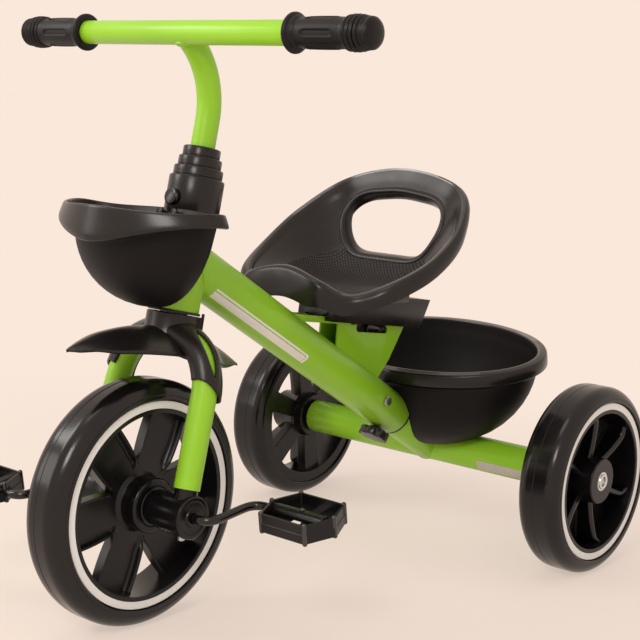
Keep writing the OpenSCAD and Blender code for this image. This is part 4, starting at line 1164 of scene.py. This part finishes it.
# How far the bar stands in front of the steering axis, and how high up it
BAR_F, BAR_S = 51.97, 461.52
BAR_PLACE = STEERED @ Matrix.Translation((0, -BAR_F * MM, BAR_S * MM))


def grip_profile():
    """Flange, handle, ringed bulb and domed end, from the inner end outwards."""
    rings = sizes().grip_rings
    profile = [
        (0, 12.2), (0, 16.5), (0.6, 18), (2, 19), (3.6, 19), (5, 18), (5.8, 16.4), (6.6, 15.9), (8, 16.2),
        (9.4, 15.8), (10.4, 14.6), (12, 14.1),
    ]
    profile += [(12 + 54 * i / 36, 14.1 + 0.5 * math.sin(math.pi * i / 36)) for i in range(1, 36)]
    start, pitch = 67, 23 / rings
    for k in range(rings):
        x = start + k * pitch
        radius = 16.9 - 0.25 * (k - 1.5) ** 2
        profile += [(x, 14.6), (x + 0.25, radius - 1)] + arc(x + pitch * 0.48, radius - 1.1, 1.1, 150, 30, 4)
        profile += [(x + pitch * 0.9, radius - 1), (x + pitch * 0.96, 14.6)]
    profile += [(90.6, 14.2), (91.4, 14.9), (93.4, 14.6), (95.4, 13), (96.9, 10), (97.8, 5.5), (98, 2)]
    return profile + [(98, 0.3), (94.6, 0.3), (94.6, 12.2)]


def make_grip(word, side):
    bm = bmesh.new()
    lathe(bm, grip_profile(), 120)
    # Long ovals sunk into the handle, with a slightly raised rim
    for vert in bm.verts:
        x, radius = vert.co.x / MM, vert.co.yz.length / MM
        if 14 < x < 64 and radius > 13.5:
            turn = math.atan2(vert.co.y, vert.co.z) - math.radians(38)
            sector = math.tau / 5
            off = (turn + sector / 2) % sector - sector / 2
            past = math.hypot(max(0, abs(x - 38) - 15), off * radius) - 3.4
            sink = 1.3 * ease(-past / 1.2 + 0.3) - 0.45 * ease(1 - abs(past - 0.6) / 1.3)
            vert.co.yz *= (radius - sink) / radius
    place = BAR_PLACE @ mirrored(side) @ Matrix.Translation((142 * MM, 0, 0))
    piece("grip_%s_ringed" % word, bm, "steering", "grip", ["grip_" + word], place, sharp=50)


# ---- Pedals ----


def pedal_corner(k, inset, z):
    """Corner k of the pedal's six-sided plan, set in by inset."""
    x, y = ((42 - 1.3 * inset, 0), (28 - 0.4 * inset, 31.5 - inset))[k % 3 > 0]
    return Vector((x if k in (0, 1, 5) else -x, y if k < 3 else -y, z))


def make_pedal(word, side):
    """A stepped six-sided frame round a half-round barrel, with floor plates and a stud at each corner."""
    on_crank = Matrix.Translation(Vector((166 * side, 64 * side, 0)) * MM)
    place = Matrix.Translation(FRONT) @ turned(CRANK_TILT, "X") @ on_crank @ turned(3, "X") @ mirrored(side)
    section = [(0, -9.3), (0, -0.6), (0.8, 0.1), (0.8, 9.3), (3.4, 9.3), (3.4, -9.3)]
    bm = bmesh.new()
    loft(bm, [[pedal_corner(k, inset, z) * MM for inset, z in section] for k in range(6)], closed=True)
    for start, end, tip in ((-8, -27.5, -39.5), (5, 27.5, 39.5)):
        plan = [(start, -29.5), (start, 29.5), (end, 29.5), (tip, 0), (end, -29.5)]
        centre = (start + end) / 2
        loft(bm, [[mm(x, y, z) for x, y in plan] for z in (-3, -1)], mm(centre, 0, -3), mm(centre, 0, -1))
    arch = [(8.2 * math.cos(math.pi * i / 14), 8.2 * math.sin(math.pi * i / 14) - 0.6) for i in range(15)]
    ends = [(-39, 0.96), (-37, 1), (27, 1), (28, 0.9)]
    loft(bm, [[mm(x, y * share, z * share) for y, z in arch] for x, share in ends], mm(-39, 0, 2), mm(28, 0, 2))
    node = "pedal_" + word
    piece(node + "_framed", bm, BODY_OF[node], "rim", [node], place, bevel=0.5, sharp=30)
    bm = bmesh.new()
    end = [(9.2, 2.5), (10.3, 2.3), (11.2, 1.4), (11.5, 0.05)]
    stud = [(-x, r) for x, r in reversed(end)] + end
    for spot in [pedal_corner(k, 2, 0) for k in range(6)] + [Vector((0, 0, 0))]:
        post = bmesh.new()
        lathe(post, stud, 20, closed=False)
        bmesh.ops.transform(post, matrix=Matrix.Translation(spot * MM) @ X_TO_Z, verts=post.verts)
        if spot.length < 1:
            bmesh.ops.scale(post, vec=(1, 1, 0.86), verts=post.verts)
        joined = bpy.data.meshes.new("stud")
        post.to_mesh(joined)
        post.free()
        bm.from_mesh(joined)
        bpy.data.meshes.remove(joined)
    piece(node + "_studs", bm, BODY_OF[node], "bead", (), place, sharp=60)
    cap = "pedal_cap_" + word
    nut = [
        (28.2, 4.4), (28.2, 6.4), (29, 7), (32.5, 7), (33.5, 6.2), (35.5, 5), (36.4, 3), (36.6, 0.2), (33, 0.2),
        (33, 4.4),
    ]
    spun("pedal_nut_" + word, nut, 6, BODY_OF[cap], "rod", [cap], place, bevel=0.5)


# ---- Stage ----


def stand(name, data):
    """An object with data, linked to the scene."""
    obj = bpy.data.objects.new(name, data)
    bpy.context.scene.collection.objects.link(obj)
    return obj


def floor_tone():
    return list(colours().floor) + [1]


def make_floor():
    """A paper sweep that fades into the background's own colour."""
    bm = bmesh.new()
    bmesh.ops.create_circle(bm, cap_ends=True, segments=96, radius=9.0)
    mesh = bpy.data.meshes.new("floor")
    bm.to_mesh(mesh)
    bm.free()
    floor = stand("floor", mesh)
    paper, tree, bsdf, place = new_material("paper_sweep")
    bsdf.inputs["Base Color"].default_value = floor_tone()
    bsdf.inputs["Roughness"].default_value = 0.9
    bsdf.inputs["Specular IOR Level"].default_value = 0.1
    distance = add(tree, "ShaderNodeVectorMath", {0: place}, operation="LENGTH")
    fade = {"Value": distance.outputs["Value"], "From Min": 0.35, "From Max": 1.3, "To Min": 0.58}
    far = add(tree, "ShaderNodeMapRange", fade, interpolation_type="SMOOTHSTEP")
    shares = {0: far.outputs["Result"], 1: direct_rays(tree)}
    seen = add(tree, "ShaderNodeMath", shares, operation="MULTIPLY")
    glow = add(tree, "ShaderNodeEmission", {"Color": floor_tone(), "Strength": 1.0})
    mix = add(tree, "ShaderNodeMixShader", {
        0: seen.outputs["Value"], 1: bsdf.outputs["BSDF"], 2: glow.outputs["Emission"],
    })
    tree.links.new(mix.outputs["Shader"], tree.nodes["Material Output"].inputs["Surface"])
    mesh.materials.append(paper)


def make_world():
    """Even light on the object, and the floor's colour where the background is seen."""
    world = bpy.data.worlds.new("studio")
    world.use_nodes = True
    bpy.context.scene.world = world
    tree = world.node_tree
    even = tree.nodes["Background"]
    even.inputs["Color"].default_value = linear(LIGHT)
    even.inputs["Strength"].default_value = bpy.context.scene.tricycle_view.sky
    seen = add(tree, "ShaderNodeBackground", {"Color": floor_tone(), "Strength": 1.0})
    mix = add(tree, "ShaderNodeMixShader", {
        0: direct_rays(tree), 1: even.outputs["Background"], 2: seen.outputs["Background"],
    })
    tree.links.new(mix.outputs["Shader"], tree.nodes["World Output"].inputs["Surface"])


LIGHT = "#fffcfa"
# Each lamp's direction from the object, distance and width in metres, and power as a share of the main one's
LAMPS = {
    "key_lamp": ((0.33, -0.8, 0.5), 2.2, 0.55, 1),
    "left_lamp": ((-0.6, -0.55, 0.58), 1.9, 0.6, 0.6),
    "low_lamp": ((-0.62, -0.75, 0.22), 2.2, 0.7, 0.3),
    "top_lamp": ((-0.1, -0.3, 0.95), 2.0, 0.8, 0.3),
}


def make_lamps():
    target = (CAD_BOX[0] + CAD_BOX[1]) / 2
    for name, (way, distance, width, share) in LAMPS.items():
        data = bpy.data.lights.new(name, "AREA")
        data.size = width
        data.energy = bpy.context.scene.tricycle_view.key * share
        data.color = linear(LIGHT)[:3]
        lamp = stand(name, data)
        way = Vector(way).normalized()
        lamp.location = target + way * distance
        lamp.rotation_mode = "QUATERNION"
        lamp.rotation_quaternion = (-way).to_track_quat("-Z", "Y")


def make_camera():
    setup = bpy.context.scene.tricycle_view
    azimuth, elevation, roll = (math.radians(a) for a in (setup.azimuth, setup.elevation, setup.roll))
    flat = math.cos(elevation)
    back = Vector((math.sin(azimuth) * flat, -math.cos(azimuth) * flat, math.sin(elevation)))
    level = (-back).cross(Vector((0, 0, 1))).normalized()
    upright = level.cross(-back)
    right = level * math.cos(roll) + upright * math.sin(roll)
    up = upright * math.cos(roll) - level * math.sin(roll)
    data = bpy.data.cameras.new("camera")
    data.lens = setup.lens
    data.sensor_width = 36
    data.clip_start = 0.05
    data.clip_end = 60
    camera = stand("camera", data)
    camera.matrix_world = Matrix.Translation(setup.place) @ Matrix((right, up, back)).transposed().to_4x4()
    bpy.context.scene.camera = camera


# ---- Operators ----


class TRICYCLE_OT_frame(bpy.types.Operator):
    """Welded steel frame, its tubes, brackets and plates in green powder coat"""

    bl_idname = "tricycle.frame"
    bl_label = "Frame"

    def execute(self, context):
        make_main_tube()
        for node in ("head_tube", "stub_tube", "axle_beam", "fork_crown", "handlebar"):
            dress(node, "green", 0.4)
        for node in ("seat_bracket_left", "seat_bracket_right"):
            dress(node, "green", 0.5)
        dress("tube_stripes", "stripe", 0.1)
        weld("head_weld", "frame", meeting(ALONG_TUBE, TUBE_R, STEERED, TUBE_R, 300, 1))
        dress("beam_label", "label", 0.1)
        dress("tube_end_ring", "satin", 0.3)
        for node in ("beam_bush_left", "beam_bush_right", "head_bush_lower", "head_bush_upper"):
            dress(node, "satin", 0.3)
        return {"FINISHED"}


class TRICYCLE_OT_fasteners(bpy.types.Operator):
    """Axles, bolts, screws, caps and the clamp knob"""

    bl_idname = "tricycle.fasteners"
    bl_label = "Axles and fasteners"

    def execute(self, context):
        for node in ("rear_axle", "cross_nut", "cross_bolt", "housing_screws", "seat_screws"):
            dress(node, "zinc", 0.3)
        dress("steerer_tube", "zinc", 0.3)
        for node in ("rear_bowl_screws", "front_bowl_screws"):
            dress(node, "satin", 0.4)
        dress("clamp_knob", "satin", 0.6)
        dress("sleeve_bolt", "rod", 1.2)
        body, at_axle = BODY_OF["axle_caps"], Matrix.Translation((0, REAR.y, REAR.z))
        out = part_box("axle_caps")[1].x / MM
        cap = [
            (out - 7, 5.1), (out - 7, 11.6), (out - 2.6, 11.6), (out - 2, 11), (out - 1.8, 9.2),
            (out - 0.4, 8.8),
            (out, 8.2), (out, 6.2), (out - 0.6, 5.6), (out - 3.4, 5.4), (out - 3.4, 5.1),
        ]
        spun("axle_caps_finished", cap, 48, body, "bright", ["axle_caps"], at_axle, both=True, bevel=0.3)
        # A black disc at the bottom of each cap's hole: painted shade that makes the hole read dark
        plug = [(out - 3.6, 0.1), (out - 3, 0.1), (out - 3, 5.3), (out - 3.6, 5.3)]
        spun("axle_cap_holes_painted_shade", plug, 48, body, "bowl", (), at_axle, both=True)
        return {"FINISHED"}


class TRICYCLE_OT_fork(bpy.types.Operator):
    """Fork legs, the cover over the front wheel, bearing housings and stepped sleeve"""

    bl_idname = "tricycle.fork"
    bl_label = "Fork"

    def execute(self, context):
        for word, side in SIDES:
            bm = bmesh.new()
            path = rounded_path(
                [(68 * side, -8.7, 24), (61 * side, 0, 130), (47 * side, 0, 156), (14 * side, 0, 172)], 14
            )
            sweep(bm, path, 13, 48)
            leg = "fork_leg_" + word
            piece(leg + "_bent", bm, "steering", "green", [leg], STEERED, bevel=0.6, sharp=50)
            make_housing(word, side)
        make_crown_cover()
        sleeve = [(0, 14.2), (0, 27), (1, 28), (45.4, 28), (46.6, 27.4), (47, 26.4)]
        for k in range(3):
            x, r = 47 + 10.2 * k, 25 - 3 * k
            sleeve += [(x, r - 0.9), (x + 0.8, r - 0.9), (x + 1.2, r)]
            sleeve += [(x + 8.8, r), (x + 9.8, r - 0.5), (x + 10.2, r - 1.4)]
        sleeve += [(77.6, 12.6), (40, 12.6), (40, 14.2)]
        spun("sleeve_stepped", sleeve, 72, "steering", "satin", ["sleeve"], up_steering(SLEEVE_S), sharp=50)
        return {"FINISHED"}


class TRICYCLE_OT_handlebar(bpy.types.Operator):
    """Bent stem and the two moulded grips"""

    bl_idname = "tricycle.handlebar"
    bl_label = "Handlebar"

    def execute(self, context):
        # Straight out of the sleeve, then bent forwards round a point beside the axis
        bend_s, bend_r, bend_degrees = 385.9, 81, 69
        bend = [(0, 0, 300), (0, 0, bend_s)]
        for i in range(1, 21):
            a = math.radians(bend_degrees * i / 20)
            bend.append((0, -bend_r + bend_r * math.cos(a), bend_s + bend_r * math.sin(a)))
        bm = bmesh.new()
        sweep(bm, bend, 12.5, 48)
        piece("stem_bent", bm, "steering", "green", ["stem"], STEERED, sharp=60)
        end = STEERED @ Matrix.Translation(Vector(bend[-1]) * MM) @ turned(bend_degrees, "X")
        weld("stem_weld", "steering", meeting(end, 12.5, BAR_PLACE @ X_TO_Z, 12, -30, 1))
        make_grip("left", 1)
        make_grip("right", -1)
        return {"FINISHED"}


class TRICYCLE_OT_seat(bpy.types.Operator):
    """Moulded bucket seat with its hand hole, foot and sliding peg"""

    bl_idname = "tricycle.seat"
    bl_label = "Seat"

    def execute(self, context):
        make_seat_lip(make_seat_shell())
        dress("seat_foot", "satin", 0.8)
        dress("seat_peg", "rod", 0.5)
        return {"FINISHED"}


class TRICYCLE_OT_bowls(bpy.types.Operator):
    """Front and rear storage bowls"""

    bl_idname = "tricycle.bowls"
    bl_label = "Bowls"

    def execute(self, context):
        make_rear_bowl()
        make_front_bowl()
        return {"FINISHED"}


class TRICYCLE_OT_wheels(bpy.types.Operator):
    """Three wheels: foam tyres, moulded rims and white rings"""

    bl_idname = "tricycle.wheels"
    bl_label = "Wheels"

    def execute(self, context):
        make_front_wheel()
        make_rear_wheel(1)
        make_rear_wheel(-1)
        return {"FINISHED"}


class TRICYCLE_OT_pedals(bpy.types.Operator):
    """Bent crank rod, pedals and the nuts on its ends"""

    bl_idname = "tricycle.pedals"
    bl_label = "Pedals"

    def execute(self, context):
        reach = span("crank_rod").x / 2
        half = [(reach, 64, 0), (103, 64, 0), (103, 0, 0)]
        corners = [(-x, -y, z) for x, y, z in half] + half[::-1]
        bent = rounded_path([turned(CRANK_TILT, "X") @ Vector(p) for p in corners], 17, 10)
        bm = bmesh.new()
        sweep(bm, bent, 4.5, 24)
        piece("crank_rod_bent", bm, "front_wheel", "rod", ["crank_rod"], Matrix.Translation(FRONT), sharp=60)
        make_pedal("left", 1)
        make_pedal("right", -1)
        return {"FINISHED"}


class TRICYCLE_OT_stage(bpy.types.Operator):
    """Pale floor, even studio light, a soft main lamp and the camera"""

    bl_idname = "tricycle.stage"
    bl_label = "Stage"

    def execute(self, context):
        context.scene.view_settings.view_transform = "Standard"
        make_floor()
        make_world()
        make_lamps()
        make_camera()
        return {"FINISHED"}


class TRICYCLE_PT_panel(bpy.types.Panel):
    """Lists the tricycle's settings and pieces"""

    bl_label = "Tricycle"
    bl_idname = "TRICYCLE_PT_panel"
    bl_space_type = "VIEW_3D"
    bl_region_type = "UI"
    bl_category = "Tricycle"

    def draw(self, context):
        for name in ("tricycle_colours", "tricycle_sizes", "tricycle_view"):
            group = getattr(context.scene, name)
            for field in group.__annotations__:
                self.layout.prop(group, field)
        for operator in OPERATORS:
            self.layout.operator(operator.bl_idname)


OPERATORS = (
    TRICYCLE_OT_stage,
    TRICYCLE_OT_frame,
    TRICYCLE_OT_fasteners,
    TRICYCLE_OT_fork,
    TRICYCLE_OT_handlebar,
    TRICYCLE_OT_seat,
    TRICYCLE_OT_bowls,
    TRICYCLE_OT_wheels,
    TRICYCLE_OT_pedals,
)
GROUPS = {"tricycle_colours": TricycleColours, "tricycle_sizes": TricycleSizes, "tricycle_view": TricycleView}


def register():
    for each in (*GROUPS.values(), *OPERATORS, TRICYCLE_PT_panel):
        bpy.utils.register_class(each)
    for name, group in GROUPS.items():
        setattr(bpy.types.Scene, name, PointerProperty(type=group))


def unregister():
    for name in GROUPS:
        delattr(bpy.types.Scene, name)
    for each in (*GROUPS.values(), *OPERATORS, TRICYCLE_PT_panel):
        bpy.utils.unregister_class(each)


def main():
    register()
    for operator in OPERATORS:
        group, name = operator.bl_idname.split(".")
        getattr(getattr(bpy.ops, group), name)()


if __name__ == "__main__":
    main()
